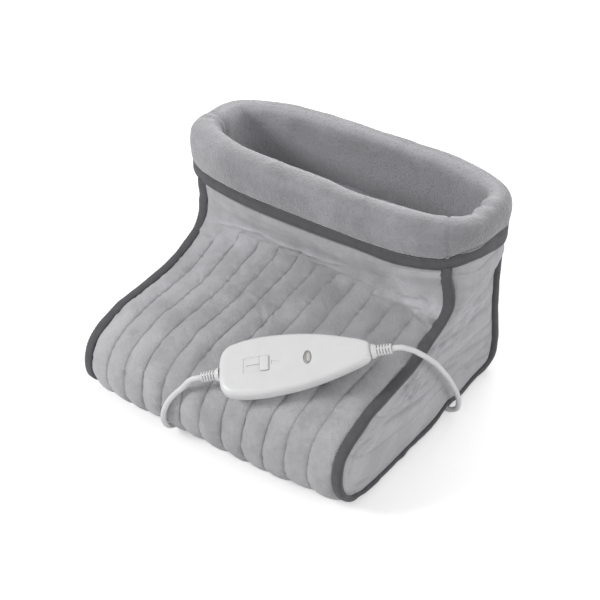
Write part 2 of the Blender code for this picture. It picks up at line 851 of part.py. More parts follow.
def make_sole():
    columns = SOLE_COLUMN_SHARES
    slack = seam_gap / seam_length
    sole = wrap(marks[HEEL_SEAM] - slack, marks[TOE_SEAM] + slack, sole_rise)
    panel = sheet("sole_panel", sole, columns, SOLE_ROW_SHARES, sole_thickness, sole_cloth)
    notch_low = (lead_gland_x - overrun, lead_entry_y - gland_radius - gap, -overrun)
    notch_high = (seam_half_width, lead_entry_y + gland_radius + gap, sole_thickness + gap)
    notch = box("gland_notch", notch_low, notch_high, sole_cloth, collection=cutters)
    cut(panel, notch)

    low_edge = seam[round(marks[TOE_SEAM] * 1199) : round(marks[HEEL_SEAM] * 1199)]

    def wadding_face(u, v):
        x = (2 * u - 1) * wadding_half_width
        y = heel_y - wadding_back - v * (seam_depth - wadding_back - wadding_front)
        rise = np.interp(y, low_edge[:, 1], low_edge[:, 2]) - sole_drop
        lift = lift_over_cord(x - mains_cord_x, 0, sole_lift + 2 * gap)
        return Vector((x, y, wadding_z + rise + lift))

    rows = SOLE_ROW_SHARES[2:-2]
    pad = slab("sole_wadding", wadding_face, columns, rows, wadding_z + wadding_thickness, wadding)
    pocket_low = (lead_gland_x - splice_length - 2 * gap, lead_entry_y - splice_half_width - gap, 0)
    pocket_high = (seam_half_width, lead_entry_y + splice_half_width + gap, carrier_z)
    cut(pad, box("splice_pocket", pocket_low, pocket_high, wadding, collection=cutters))


def heating_tail(side, corner_y, z):
    """The wire from the splice over the carrier's edge and along its right margin."""
    y = lead_entry_y + side * splice_wire_offset
    low_z = wadding_z + splice_height + gap + heating_wire_radius
    margin_x = carrier_half_width - heating_margin / 2
    bend = heating_tail_bend
    return [
        (lead_gland_x - splice_length / 2, y, low_z),
        (carrier_half_width + 2 * heating_wire_radius, y, z),
        (margin_x + bend, y, z),
        (margin_x, y + side * bend, z),
        (margin_x, corner_y - side * bend, z),
        (margin_x - bend, corner_y, z),
    ]


def heating_path():
    """The whole wire: out along the front, back and forth over the carrier, home along the right."""
    reach = carrier_half_width - heating_margin
    turn = heating_run_pitch / 2
    bend = heating_tail_bend
    first_y = carrier_y - heating_run_pitch * (heating_run_count - 1) / 2
    last_y = first_y + heating_run_pitch * (heating_run_count - 1)
    front_y = first_y - 2 * bend
    z = heating_z + heating_wire_radius
    points = heating_tail(-1, front_y, z)
    points += [(bend - reach, front_y, z), (-reach, front_y + bend, z), (bend - reach, first_y, z)]
    for run in range(heating_run_count):
        y = first_y + run * heating_run_pitch
        side = 1 if run % 2 == 0 else -1
        points += [(-side * (reach - turn), y, z), (side * (reach - turn), y, z)]
        if run < heating_run_count - 1:
            for step in range(1, 4):
                angle = -math.pi / 2 + math.pi * step / 4
                x = side * (reach - turn + turn * math.cos(angle))
                points.append((x, y + turn + turn * math.sin(angle), z))
    return points + heating_tail(1, last_y, z)[::-1]


def make_heater():
    low_y = carrier_y - carrier_depth / 2
    high_y = carrier_y + carrier_depth / 2
    low = (-carrier_half_width, low_y, carrier_z)
    high = (carrier_half_width, high_y, carrier_z + carrier_thickness)
    box("heating_carrier", low, high, felt)
    tube("heating_wire", heating_path(), heating_wire_radius, heater_sleeve, sides_step=1)

    def laid(name, centre, size, material):
        half = [length / 2 for length in size]
        low = (centre[0] - half[0], centre[1] - half[1], heating_z)
        high = (centre[0] + half[0], centre[1] + half[1], heating_z + size[2])
        return box(name, low, high, material, edge=component_edge)

    middle_y = carrier_y + heating_run_pitch / 2
    laid("thermostat", (-heating_margin, middle_y), thermostat_size, black_plastic)
    laid("thermal_fuse", (2 * heating_margin, middle_y), fuse_size, white_plastic)


def make_footbed():
    reach = seam_half_width - side_lining_depth - lining_thickness - 2 * gap

    def face(u, v):
        y = heel_y - footbed_back - v * (seam_depth - footbed_back - footbed_front)
        taper = 1 - toe_taper_share * eased((v - 0.85) / 0.15)
        return Vector(((2 * u - 1) * reach * taper, y, footbed_z))

    slab("footbed", face, even(8), FOOTBED_ROW_SHARES, footbed_z + footbed_thickness, plush)


def make_splice():
    low = (lead_gland_x - splice_length - gap, lead_entry_y - splice_half_width, wadding_z)
    high = (lead_gland_x - gap, lead_entry_y + splice_half_width, wadding_z + splice_height)
    box("lead_splice", low, high, black_plastic, edge=component_edge)
    profile = [
        (0, gland_length),
        (cord_radius + gland_tip_clearance, gland_length),
        (gland_radius, gland_length * gland_taper_share),
        (gland_radius, 0),
        (0, 0),
    ]
    matrix = Matrix.Translation((lead_gland_x, lead_entry_y, lead_gland_z)) @ along_x(1)
    turned("lead_gland", profile, black_plastic, matrix=matrix)


def along_x(side):
    """The turn that lays a profile's Z along +X or -X."""
    return Matrix.Rotation(side * math.pi / 2, 4, "Y")


def control_thin(x):
    """The share of its full height that the control has at x: it thins towards the warmer lead."""
    return 1 - control_narrow_share * eased(x / control_length + control_taper_start_share)


def control_top(x):
    return parting_z + (control_height - parting_z) * control_thin(x)


def control_floor(x):
    return parting_z * (1 - control_thin(x))


def control_outline(count):
    """The closed outline of the control at full size, in its own frame, with even spacing."""
    half = [(x * control_length, y * control_half_width) for x, y in CONTROL_SHARES]
    upper = smooth_path(half, 200)
    lower = upper[::-1] * np.array([1, -1])
    return spaced(np.vstack([upper, lower[1:]]), count + 1)[:-1]


def control_seat(turn):
    """The height of the control's frame at which it just clears the channels that carry it."""
    face = wrap(marks[TOE_SEAM], 0, front_rise)
    crests = np.array([face(u, v) for u in even(4 * channel_count) for v in even(60)])
    outline = control_outline(120)
    half = outline[: len(outline) // 2 + 1]
    turn = np.array(turn)
    insets = [inset * control_half_width for _, inset in BOTTOM_SHELL_SHARES]
    drops = [share for share, _ in BOTTOM_SHELL_SHARES]
    low, high = 0, 2 * seam_height
    for _ in range(24):
        middle = (low + high) / 2
        local = (crests - np.array([control_x, control_y, middle])) @ turn
        edge = np.interp(local[:, 0], half[:, 0], half[:, 1], left=0, right=0)
        inset = edge - np.abs(local[:, 1])
        under = local[inset > 0]
        thin = np.array([control_thin(x) for x in under[:, 0]])
        face_z = parting_z - parting_z * thin * np.interp(inset[inset > 0], insets, drops)
        if len(under) and (under[:, 2] > face_z - control_seat_gap).any():
            low = middle
        else:
            high = middle
    return high


def control_frame():
    """An empty that carries the control: X towards the warmer lead, Z out of its top face."""
    turn = Matrix.Rotation(control_yaw, 3, "Z") @ Matrix.Rotation(-control_pitch, 3, "Y")
    turn = turn @ Matrix.Rotation(control_roll, 3, "X")
    hub = bpy.data.objects.new("control", None)
    parts.objects.link(hub)
    place = Matrix.Translation((control_x, control_y, control_seat(turn)))
    hub.matrix_world = place @ turn.to_4x4()
    return hub


def shell(name, rings, height, parent, count=36):
    """An open half of the control: its outline carried through rings up or down from the parting plane."""
    outline = control_outline(count)
    direction = 1 if height > 0 else -1

    def place(u, v):
        index = round(v * len(rings))
        if index == len(rings):
            return Vector((0, 0, parting_z + direction * gap / 2 + height * control_thin(0)))
        share, inset = rings[index]
        x, y = outline[round(u * count) % count]
        x *= 1 - 2 * inset * control_half_width / control_length
        y *= 1 - inset
        return Vector((x, y, parting_z + direction * gap / 2 + share * height * control_thin(x)))

    bm = mapped_grid(place, even(count), even(len(rings)))
    bmesh.ops.remove_doubles(bm, verts=bm.verts, dist=gap / 10)
    if direction > 0:
        bmesh.ops.reverse_faces(bm, faces=bm.faces)
    obj = mesh_object(name, bm, white_plastic, parent)
    solidify = obj.modifiers.new("wall", "SOLIDIFY")
    solidify.thickness = control_wall
    solidify.offset = -1
    return obj


def screw_places():
    return [(screw_left_x, screw_left_y), (screw_left_x, -screw_left_y), (screw_right_x, 0)]


def make_control_shells(hub):
    top = shell("control_top_shell", TOP_SHELL_SHARES, control_height - parting_z, hub)
    bottom = shell("control_bottom_shell", BOTTOM_SHELL_SHARES, -parting_z, hub)

    def peg(name, x, y, radius, low, high):
        return cylinder(name, (x, y, 0), radius, low, high, white_plastic, parent=hub, collection=cutters)

    for index, (x, y) in enumerate(screw_places()):
        low = control_floor(x) + control_wall / 2
        post = peg(f"post_{index}", x, y, post_radius, low, parting_z - gap / 2)
        cut(bottom, post, "UNION")
        high = control_top(x) - control_wall / 2
        boss = peg(f"boss_{index}", x, y, boss_radius, parting_z + gap / 2, high)
        cut(top, boss, "UNION")
    for index, side in enumerate((-1, 1)):
        x = board_x + side * (board_length / 2 - board_post_margin)
        for sign, y in enumerate((-1, 1)):
            y *= board_half_width - board_post_margin
            stand = peg(f"stand_{index}_{sign}", x, y, board_post_radius, control_wall / 2, board_z - gap)
            cut(bottom, stand, "UNION")
    for index, (x, y) in enumerate(screw_places()):
        pocket = peg(f"pocket_{index}", x, y, screw_head_radius + gap, -overrun, screw_seat)
        cut(bottom, pocket)
        tip = screw_seat + screw_length
        bore = peg(f"bore_{index}", x, y, screw_radius + gap, screw_head_height, tip)
        cut(bottom, bore)
        cut(top, bore)
    for side, word in ((-1, "mains"), (1, "lead")):
        face = side * control_length / 2
        inner = face - side * (relief_neck_length + relief_flange_length + gap)
        outer = face + side * overrun
        neck = cylinder(
            "neck_" + word,
            (0, 0, parting_z),
            relief_neck_radius + gap,
            min(inner, outer),
            max(inner, outer),
            white_plastic,
            axis="X",
            parent=hub,
            collection=cutters,
        )
        rim = face - side * (relief_neck_length - gap)
        flange = cylinder(
            "flange_" + word,
            (0, 0, parting_z),
            relief_flange_radius + gap,
            min(inner, rim),
            max(inner, rim),
            white_plastic,
            axis="X",
            parent=hub,
            collection=cutters,
        )
        for half in (top, bottom):
            cut(half, neck)
            cut(half, flange)
    far_x = knob_rest_x - switch_travel
    reach = knob_length / 2 + recess_margin
    low = (far_x - reach, -recess_half_width, recess_z)
    high = (knob_rest_x + reach, recess_half_width, control_height + overrun)
    cut(top, box("recess", low, high, white_plastic, hub, collection=cutters))
    low = (far_x - stem_half_length - gap, -stem_half_width - gap, parting_z)
    high = (knob_rest_x + stem_half_length + gap, stem_half_width + gap, control_height)
    cut(top, box("stem_slot", low, high, white_plastic, hub, collection=cutters))
    window = oval_plug("window", gap, parting_z, control_height + overrun, hub, cutters)
    cut(top, window)


def oval_plug(name, clearance, low, high, hub, collection=None):
    obj = cylinder(name, (0, 0, 0), 1, low, high, lens_plastic, sides=24, parent=hub, collection=collection)
    for vert in obj.data.vertices:
        vert.co.x = lens_x + vert.co.x * (lens_half_length + clearance)
        vert.co.y *= lens_half_width + clearance
    return obj


def make_switch(hub):
    body_low = board_top_z
    body_high = body_low + switch_body_height
    middle_x = knob_rest_x - switch_travel / 2
    low = (middle_x - switch_body_length / 2, -switch_body_half_width, body_low)
    high = (middle_x + switch_body_length / 2, switch_body_half_width, body_high)
    body = box("switch_body", low, high, black_plastic, hub)
    slot_z = body_high - switch_slot_depth
    reach = lever_half_length + gap
    low = (knob_rest_x - switch_travel - reach, -lever_half_width - gap, slot_z)
    high = (knob_rest_x + reach, lever_half_width + gap, body_high + overrun)
    cut(body, box("lever_slot", low, high, black_plastic, hub, collection=cutters))
    lever_low = slot_z + gap
    lever_high = lever_low + lever_height
    low = (knob_rest_x - lever_half_length, -lever_half_width, lever_low)
    high = (knob_rest_x + lever_half_length, lever_half_width, lever_high)
    box("switch_lever", low, high, white_plastic, hub)
    low = (knob_rest_x - knob_length / 2, -knob_half_width, recess_z + gap)
    high = (knob_rest_x + knob_length / 2, knob_half_width, recess_z + gap + knob_height)
    knob = box("switch_knob", low, high, white_plastic, hub, edge=knob_edge, segments=2)
    low = (knob_rest_x - stem_half_length, -stem_half_width, lever_high + gap)
    high = (knob_rest_x + stem_half_length, stem_half_width, recess_z + knob_height / 2)
    cut(knob, box("stem", low, high, white_plastic, hub, collection=cutters), "UNION")


def make_electronics(hub):
    low = (board_x - board_length / 2, -board_half_width, board_z)
    high = (board_x + board_length / 2, board_half_width, board_z + board_thickness)
    box("circuit_board", low, high, board_laminate, hub)

    def component(name, place, size, material):
        low = (place[0] - size[0] / 2, place[1] - size[1] / 2, board_top_z)
        high = (place[0] + size[0] / 2, place[1] + size[1] / 2, board_top_z + size[2])
        box(name, low, high, material, hub, edge=component_edge)

    component("triac", triac_place, triac_size, black_plastic)
    component("capacitor", capacitor_place, capacitor_size, lens_plastic)
    cylinder(
        "resistor",
        (*resistor_place, board_top_z + resistor_radius),
        resistor_radius,
        -resistor_length / 2,
        resistor_length / 2,
        felt,
        axis="X",
        sides=12,
        parent=hub,
    )
    cylinder(
        "indicator_lamp",
        (lens_x, 0, 0),
        lamp_radius,
        board_top_z,
        board_top_z + lamp_height,
        lens_plastic,
        sides=16,
        parent=hub,
    )
    lens_top = control_height - lens_sink
    oval_plug("indicator_lens", 0, lens_top - lens_thickness, lens_top, hub)


def make_screws(hub):
    head = screw_seat - gap
    tip = head + screw_length
    profile = [
        (0, tip),
        (screw_radius, tip),
        (screw_radius, head),
        (screw_head_radius, head),
        (screw_head_radius, head - screw_head_height),
        (0, head - screw_head_height),
    ]
    for index, (x, y) in enumerate(screw_places()):
        place = Matrix.Translation((x, y, 0))
        turned(f"control_screw_{index + 1}", profile, steel, hub, place)


def strain_relief(name, side, hub):
    """A ribbed sleeve on an end of the control, with a flange that the two shells hold."""
    pitch = (relief_length - relief_cone_length) / relief_rib_count
    profile = [(0, relief_length)]
    for rib in range(relief_rib_count):
        high = relief_length - rib * pitch
        slope = (relief_root_radius - relief_tip_radius) / relief_length
        radius = relief_root_radius - slope * high
        profile += [
            (radius, high),
            (radius, high - relief_land_share * pitch),
            (radius - relief_rib_depth, high - relief_groove_share * pitch),
            (radius - relief_rib_depth, high - pitch),
        ]
    profile += [
        (relief_root_radius, 0),
        (relief_neck_radius, 0),
        (relief_neck_radius, -relief_neck_length - gap),
        (relief_flange_radius, -relief_neck_length - gap),
        (relief_flange_radius, -relief_neck_length - relief_flange_length),
        (0, -relief_neck_length - relief_flange_length),
    ]
    place = Matrix.Translation((side * relief_axis_x, 0, parting_z)) @ along_x(side)
    turned(name, profile, white_plastic, hub, place)


def cord_exit(hub, side):
    """The point where a cord leaves its strain relief, and the way it points there."""
    tip = side * (relief_axis_x + relief_length + gap)
    point = hub.matrix_world @ Vector((tip, 0, parting_z))
    return point, (hub.matrix_world.to_3x3() @ Vector((side, 0, 0))).normalized()


def cord_path(start, start_way, route, end, end_way):
    """A smooth path through the route's points that leaves and arrives square, for one diameter."""
    first = start + start_way * cord_diameter
    last = end - end_way * cord_diameter
    knots = [first] + [Vector(point) for point in route] + [last]
    length = lengths_along(smooth_path(knots, 400))[-1]
    curve = smooth_path(knots, max(3, round(length / cord_step)), (start_way, end_way))
    return np.vstack([start, curve, end])


def coil_point(turns):
    """The middle of the coiled cord after this many turns, from +X towards +Y."""
    reverse = coil_layer_turns + 0.25
    inwards = min(turns, reverse)
    outwards = max(0, turns - reverse)
    radius = coil_radius - coil_pitch * (inwards - outwards)
    climb = min(max((turns - coil_layer_turns) * 2, 0), 1)
    angle = 2 * math.pi * turns
    z = coil_low_z + coil_pitch * climb
    return Vector((coil_x + radius * math.cos(angle), coil_y + radius * math.sin(angle), z))


def coil_points():
    total = coil_layer_turns + 0.5 + coil_outer_turns
    return [coil_point(step / 24) for step in range(round(total * 24) + 1)]


def least_gap(points):
    """The least distance between stretches of a tube that aren't neighbours, less its diameter."""
    points = spaced(np.array(points), 1200)
    at = lengths_along(points)
    apart = np.linalg.norm(points[:, None] - points[None, :], axis=2)
    apart[np.abs(at[:, None] - at[None, :]) < 2 * cord_diameter] = np.inf
    return apart.min() - cord_diameter


def make_cords(hub):
    turns = coil_points()
    start = turns[0] - Vector((0, cord_diameter, 0))
    end = turns[-1] + Vector((cord_diameter, 0, 0))
    coil = [start] + turns + [end]
    print(f"coil: least gap to itself {least_gap(coil) * 1000:.2f} mm")
    tube("mains_coil", coil, cord_radius, cord_plastic, sides_step=1)
    point, direction = cord_exit(hub, -1)
    forward, right = Vector((0, 1, 0)), Vector((1, 0, 0))
    mains = cord_path(point, direction, MAINS_ROUTE, start - forward * gap, forward)
    tube("mains_cord", mains, cord_radius, cord_plastic)
    plug_face = Vector((plug_x - gap, plug_y, plug_height / 2 + gap))
    plug_lead = cord_path(end + right * gap, right, PLUG_ROUTE, plug_face, right)
    tube("plug_lead", plug_lead, cord_radius, cord_plastic)
    point, direction = cord_exit(hub, 1)
    gland_tip = Vector((lead_gland_x + gland_length + gap, lead_entry_y, lead_gland_z))
    lead = cord_path(point, direction, LEAD_ROUTE, gland_tip, -right)
    tube("warmer_lead", lead, cord_radius, cord_plastic)
    mains_length = sum(lengths_along(np.array(run))[-1] for run in (coil, mains, plug_lead))
    print(f"mains cord {mains_length:.4f} m, warmer lead {lengths_along(lead)[-1]:.4f} m")


def make_tie():
    inner = coil_inner_radius - coil_pitch - cord_radius
    outer = coil_radius + coil_pitch / 2 + cord_radius
    high = coil_low_z + coil_pitch + cord_radius + gap
    low = coil_low_z - cord_radius - gap
    turn = Matrix.Rotation(2 * math.pi * tie_turn_share, 4, "Z")
    place = Matrix.Translation((coil_x, coil_y, 0)) @ turn
    strap_low = (inner - tie_thickness, -tie_half_width, low - tie_thickness)
    strap_high = (outer + tie_thickness, tie_half_width, high + tie_thickness)
    strap = box("cord_tie", strap_low, strap_high, black_plastic)
    hole_low, hole_high = (inner, -overrun, low), (outer, overrun, high)
    hole = box("tie_hole", hole_low, hole_high, black_plastic, collection=cutters)
    for obj in (strap, hole):
        obj.matrix_world = place
    cut(strap, hole)


def make_plug():
    low = (plug_x, plug_y - plug_half_width, gap)
    high = (plug_x + plug_length, plug_y + plug_half_width, gap + plug_height)
    body = box("plug_body", low, high, cord_plastic, edge=plug_edge, segments=2)
    face_x = plug_x + plug_length
    z = gap + plug_height / 2
    for index, side in enumerate((-1, 1)):
        y = plug_y + side * pin_spacing / 2
        seat = cylinder(
            f"pin_seat_{index}",
            (0, y, z),
            pin_radius + gap,
            face_x - pin_seat - gap,
            face_x + overrun,
            cord_plastic,
            axis="X",
            collection=cutters,
        )
        cut(body, seat)
        low, high = face_x - pin_seat, face_x + pin_length
        cylinder(f"plug_pin_{index + 1}", (0, y, z), pin_radius, low, high, brass, axis="X", sides=16)


def make_conductors(hub):
    """The cords' inner wires, from the strain reliefs to the board."""
    inner_x = relief_axis_x - relief_neck_length - relief_flange_length - gap
    board_high = board_top_z + conductor_radius
    rows = {
        "mains": [(-inner_x, conductor_spacing / 2, parting_z)]
        + [(x, y, board_high + rise * (parting_z - board_high)) for x, y, rise in MAINS_WIRE_ROUTE],
        "lead": [(inner_x, conductor_spacing / 2, parting_z)]
        + [(x, y, board_high + rise * (parting_z - board_high)) for x, y, rise in LEAD_WIRE_ROUTE],
    }
    for word, row in rows.items():
        for index, side in enumerate((-1, 1)):
            points = smooth_path([(x, side * y, z) for x, y, z in row], 10)
            tube(f"{word}_conductor_{index + 1}", points, conductor_radius, heater_sleeve, 1, parent=hub)


def main():
    make_panels()
    make_bindings()
    make_collar()
    make_lining()
    make_sole()
    make_heater()
    make_footbed()
    make_splice()
    hub = control_frame()
    make_control_shells(hub)
    make_switch(hub)
    make_electronics(hub)
    make_screws(hub)
    strain_relief("strain_relief_mains", -1, hub)
    strain_relief("strain_relief_warmer", 1, hub)
    make_conductors(hub)
    make_cords(hub)
    make_tie()
    make_plug()


main()
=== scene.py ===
"""The look of the electric foot warmer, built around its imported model.

Metres, +Z up, in the model's own frame: the toe points to -Y and the heel to +Y.
"""

import json
import math

import bmesh
import bpy
import numpy as np
from mathutils import Matrix, Vector

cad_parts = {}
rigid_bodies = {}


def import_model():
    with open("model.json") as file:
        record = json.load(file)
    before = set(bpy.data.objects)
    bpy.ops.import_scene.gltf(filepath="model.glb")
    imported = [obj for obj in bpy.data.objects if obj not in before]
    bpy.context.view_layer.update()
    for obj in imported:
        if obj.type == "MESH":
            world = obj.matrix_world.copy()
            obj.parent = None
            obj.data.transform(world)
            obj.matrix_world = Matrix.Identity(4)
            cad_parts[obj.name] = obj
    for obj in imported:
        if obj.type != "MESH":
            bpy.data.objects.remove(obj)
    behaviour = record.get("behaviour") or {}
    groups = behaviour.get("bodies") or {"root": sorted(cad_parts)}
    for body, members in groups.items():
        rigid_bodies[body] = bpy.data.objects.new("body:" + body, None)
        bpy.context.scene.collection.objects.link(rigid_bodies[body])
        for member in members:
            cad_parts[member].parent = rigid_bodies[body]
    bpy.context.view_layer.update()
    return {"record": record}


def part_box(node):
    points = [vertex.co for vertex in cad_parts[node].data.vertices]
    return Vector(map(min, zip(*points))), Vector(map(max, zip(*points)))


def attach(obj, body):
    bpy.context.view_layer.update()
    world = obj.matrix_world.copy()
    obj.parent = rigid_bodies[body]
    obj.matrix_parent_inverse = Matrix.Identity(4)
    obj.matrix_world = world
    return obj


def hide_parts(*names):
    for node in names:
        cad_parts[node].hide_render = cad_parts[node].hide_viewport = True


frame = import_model()

# Camera, fitted to the photograph
IMAGE_PX = 600
FOCAL_PX = 1364
SENSOR_MM = 36
CAMERA_PLACE = (0.6760, -0.9295, 0.9040)
CAMERA_AZIMUTH = math.radians(35.76)
CAMERA_ELEVATION = math.radians(35.0)

# Boot: the seam loop that a binding follows on each side
gap = 0.0003
seam_depth = 0.2941
seam_height = 0.1740
seam_half_width = 0.158
front_half_width = seam_half_width * 0.957
binding_radius = 0.0038
binding_end = 0.0016
seam_proud = 0.0005
sole_drop = 0.0047
seam_inset = binding_radius + gap
seam_tuck = 0.0022
seam_gap = 0.0006

# Collar
collar_half_length = 0.1765
collar_half_depth = 0.0725
toe_corner_half_width = 0.147
heel_corner_half_width = 0.157
collar_exponent = 3.2
collar_from_toe = 0.2388
collar_tilt = 0.0257
collar_height = 0.039
collar_wall = 0.026
collar_bulge = 0.003
cover_thickness = 0.002
band_height = 0.012
band_thickness = 0.0093
band_proud = 0.0015

# Fabric
quilt_thickness = 0.005
side_thickness = 0.0045
sole_thickness = 0.003
lining_thickness = 0.004
toe_crown = 0.009
heel_crown = 0.004
side_crown = 0.004
side_flare_share = 0.70
top_drop = 0.0018
channel_count = 12
stitch_pitch = 0.0034
tape_stitch_pitch = 0.0036
valley_width = 0.0012
channel_puff = 0.0038
finger_corner = 0.0055
side_channel_count = 6
side_puff = 0.0024
band_puff = 0.0026

# Footbed
footbed_front = 0.026
footbed_top = 0.0215
footbed_thickness = 0.0035

# Cords
cord_diameter = 0.0055
sole_lift = 0.0074
edge_lift = 0.0085
lift_width = 0.012
lift_fade_height = 0.026
mains_cord_x = -0.052
lead_entry_y = 0.044
gland_tip = (0.1542, 0.0440, 0.0042)

# Control, in its own frame: X towards the warmer lead, Z out of its top face
control_length = 0.148
control_half_width = 0.031
control_height = 0.021
control_parting_share = 0.58
control_narrow_share = 0.24
control_taper_start_share = 0.35
control_yaw = math.radians(30)
control_pitch = math.radians(15)
control_roll = math.radians(25)
board_x = -0.010
board_z = 0.0042
board_thickness = 0.0016
recess_z = control_height - 0.0016
switch_travel = 0.0165
knob_rest_x = -0.0275
knob_length = 0.0088
knob_half_width = 0.0078
knob_height = 0.0030
recess_half_width = 0.0082
recess_margin = 0.0003
lens_x = 0.0141
lens_half_length = 0.0038
lens_half_width = 0.0068
lens_thickness = 0.0028
lens_sink = 0.0007
relief_length = 0.0185

# Coil of the mains cord, behind the heel, and the plug
coil_layer_turns = 3
coil_radius = 0.0390
coil_outer_turns = 3.25
coil_y = 0.206
coil_pitch = cord_diameter + 0.0005
tie_thickness = 0.0010
tie_corner = 0.0030
tie_yaw = 0.75 * math.pi
plug_x = -0.005
plug_y = 0.186
plug_height = 0.0140
plug_length = 0.036
pin_spacing = 0.0186

# Places that follow from these
front_reach = toe_crown + seam_proud + channel_puff
toe_y = (front_reach - collar_from_toe - collar_half_depth - collar_bulge) / 2
heel_y = toe_y + seam_depth
collar_y = toe_y + collar_from_toe
band_z = seam_height + 0.0011
collar_z = band_z + band_height + gap
cord_radius = cord_diameter / 2
plug_z = plug_height / 2 + gap
parting_z = control_parting_share * control_height
relief_tip_x = control_length / 2 + relief_length + 2 * gap
coil_x = mains_cord_x - coil_radius
coil_low_z = tie_thickness + 2 * gap + cord_radius
lining_depth = quilt_thickness + 2 * gap
side_lining_depth = side_thickness + 3 * gap
lining_corner = quilt_thickness + lining_thickness / 2

# The seam loop from the collar's front corner over the toe, along the floor and up the heel,
# in shares of seam_depth, of the rise from sole_drop to seam_height, and of seam_half_width
SEAM_SHARES = [
    (0.6467, 0.8608, 0.943), (0.6450, 0.7422, 0.9525), (0.6076, 0.6445, 0.957), (0.5362, 0.5912, 0.957),
    (0.4274, 0.5556, 0.957), (0.2710, 0.5260, 0.957), (0.1486, 0.5024, 0.962), (0.0670, 0.4401, 0.968),
    (0.0160, 0.3453, 0.9715), (0.0000, 0.2416, 0.973), (0.0109, 0.1380, 0.978), (0.0500, 0.0521, 0.984),
    (0.1146, 0.0107, 0.994), (0.2064, 0.0000, 1.0), (0.5000, 0.0000, 1.0), (0.8864, 0.0000, 1.0),
    (0.9578, 0.0107, 1.0), (0.9918, 0.0669, 1.0), (1.0000, 0.1498, 1.0), (0.9901, 0.2920, 1.0),
    (0.9748, 0.4756, 0.997), (0.9714, 0.6829, 0.994), (0.9755, 0.8608, 0.993),
]
TOE_CORNER, TOE_SEAM, HEEL_SEAM, HEEL_CORNER = 11, 13, 17, 18
FRONT_CROWN_SHARES = [(0, 0.25), (0.07, 0.68), (0.16, 1.0), (0.5, 0.9), (0.8, 1.1)]

# Half outline of the control, in shares of its length and of its half width
CONTROL_SHARES = [
    (-0.500, 0.00), (-0.497, 0.36), (-0.480, 0.64), (-0.445, 0.82), (-0.370, 0.93), (-0.240, 1.00),
    (-0.080, 0.98), (0.080, 0.89), (0.230, 0.73), (0.360, 0.54), (0.450, 0.38), (0.485, 0.28),
    (0.500, 0.12), (0.500, 0.00),
]
BOTTOM_SHELL_SHARES = [(0, 0), (0.07, 0), (0.35, 0.032), (0.68, 0.110), (0.92, 0.242), (1, 0.371)]

# Routes of the free cords
MAINS_ROUTE = [
    (-0.0205, -0.1595, 0.0765), (-0.0280, -0.1625, 0.0670), (-0.0335, -0.1655, 0.0575),
    (-0.0370, -0.1675, 0.0475), (-0.0400, -0.1665, 0.0370), (-0.0425, -0.1620, 0.0255),
    (-0.0450, -0.1545, 0.0150), (-0.0475, -0.1440, 0.0070), (-0.0500, -0.1300, 0.0036),
    (-0.0520, -0.1120, 0.0032), (-0.0520, 0.0000, 0.0032), (-0.0520, 0.1500, 0.0032),
]
PLUG_ROUTE = [(-0.0600, 0.1680, 0.0110), (-0.0400, 0.1740, 0.0095)]
LEAD_ROUTE = [
    (0.1702, -0.0520, 0.1425), (0.1722, -0.0380, 0.1300), (0.1735, -0.0235, 0.1160),
    (0.1745, -0.0094, 0.1010), (0.1752, 0.0035, 0.0845), (0.1757, 0.0155, 0.0685),
    (0.1758, 0.0270, 0.0510), (0.1757, 0.0370, 0.0345), (0.1753, 0.0430, 0.0185),
    (0.1717, 0.0455, 0.0070), (0.1640, 0.0445, 0.0034),
]


def lengths_along(points):
    """How far along a polyline each of its points lies."""
    return np.concatenate([[0], np.cumsum(np.linalg.norm(np.diff(points, axis=0), axis=1))])


def between(targets, at, points):
    """The points at these targets of a polyline whose own points lie this far along it."""
    return np.stack([np.interp(targets, at, column) for column in points.T], axis=-1)


def spaced(points, count):
    """The same polyline with its points at even distances."""
    at = lengths_along(points)
    return between(np.linspace(0, at[-1], count), at, points)


def smooth_path(knots, count, ways=None):
    """Evenly spaced points on a smooth curve through the knots, with these directions at its ends."""
    knots = np.array(knots, dtype=float)
    at = lengths_along(knots)
    slopes = np.gradient(knots, at, axis=0)
    if ways:
        slopes[0], slopes[-1] = ways
    targets = np.linspace(0, at[-1], 40 * len(knots))
    first = np.clip(np.searchsorted(at, targets, side="right") - 1, 0, len(knots) - 2)
    span = (at[first + 1] - at[first])[:, None]
    t = (targets - at[first])[:, None] / span
    start_weight = 2 * t**3 - 3 * t**2 + 1
    curve = start_weight * knots[first] + (1 - start_weight) * knots[first + 1]
    curve += span * ((t**3 - 2 * t**2 + t) * slopes[first] + (t**3 - t**2) * slopes[first + 1])
    return spaced(curve, count)


def eased(value):
    """A smooth step: 0 up to 0, 1 from 1 on."""
    value = np.clip(value, 0, 1)
    return value * value * (3 - 2 * value)


def sample(path, share):
    """The points at these shares of an evenly spaced path."""
    return between(np.clip(share, 0, 1) * (len(path) - 1), np.arange(len(path)), path)


NOISE_KEYS = (374761393, 668265263, 915488749, 1274126177)


def noise(points, seed):
    """Smooth noise from -1 to 1 at points whose unit is one lump."""
    cell = np.floor(points).astype(np.int64)
    local = points - cell
    weight = local * local * (3 - 2 * local)
    total = np.zeros(points.shape[:-1])
    dims = points.shape[-1]
    for corner in np.ndindex(*(2,) * dims):
        at = cell + corner
        key = seed * NOISE_KEYS[3] + sum(at[..., k] * NOISE_KEYS[k] for k in range(dims))
        key = (key ^ (key >> 13)) & 0x7FFFFFFF
        key = (key * NOISE_KEYS[3]) & 0x7FFFFFFFFFFF
        value = ((key ^ (key >> 17)) & 0xFFFF) / 32767.5 - 1
        share = np.ones(points.shape[:-1])
        for k in range(dims):
            share = share * (weight[..., k] if corner[k] else 1 - weight[..., k])
        total = total + share * value
    return total


def ripple(seed, *axes):
    """The same noise over these coordinates."""
    return noise(np.stack(axes, axis=-1), seed)


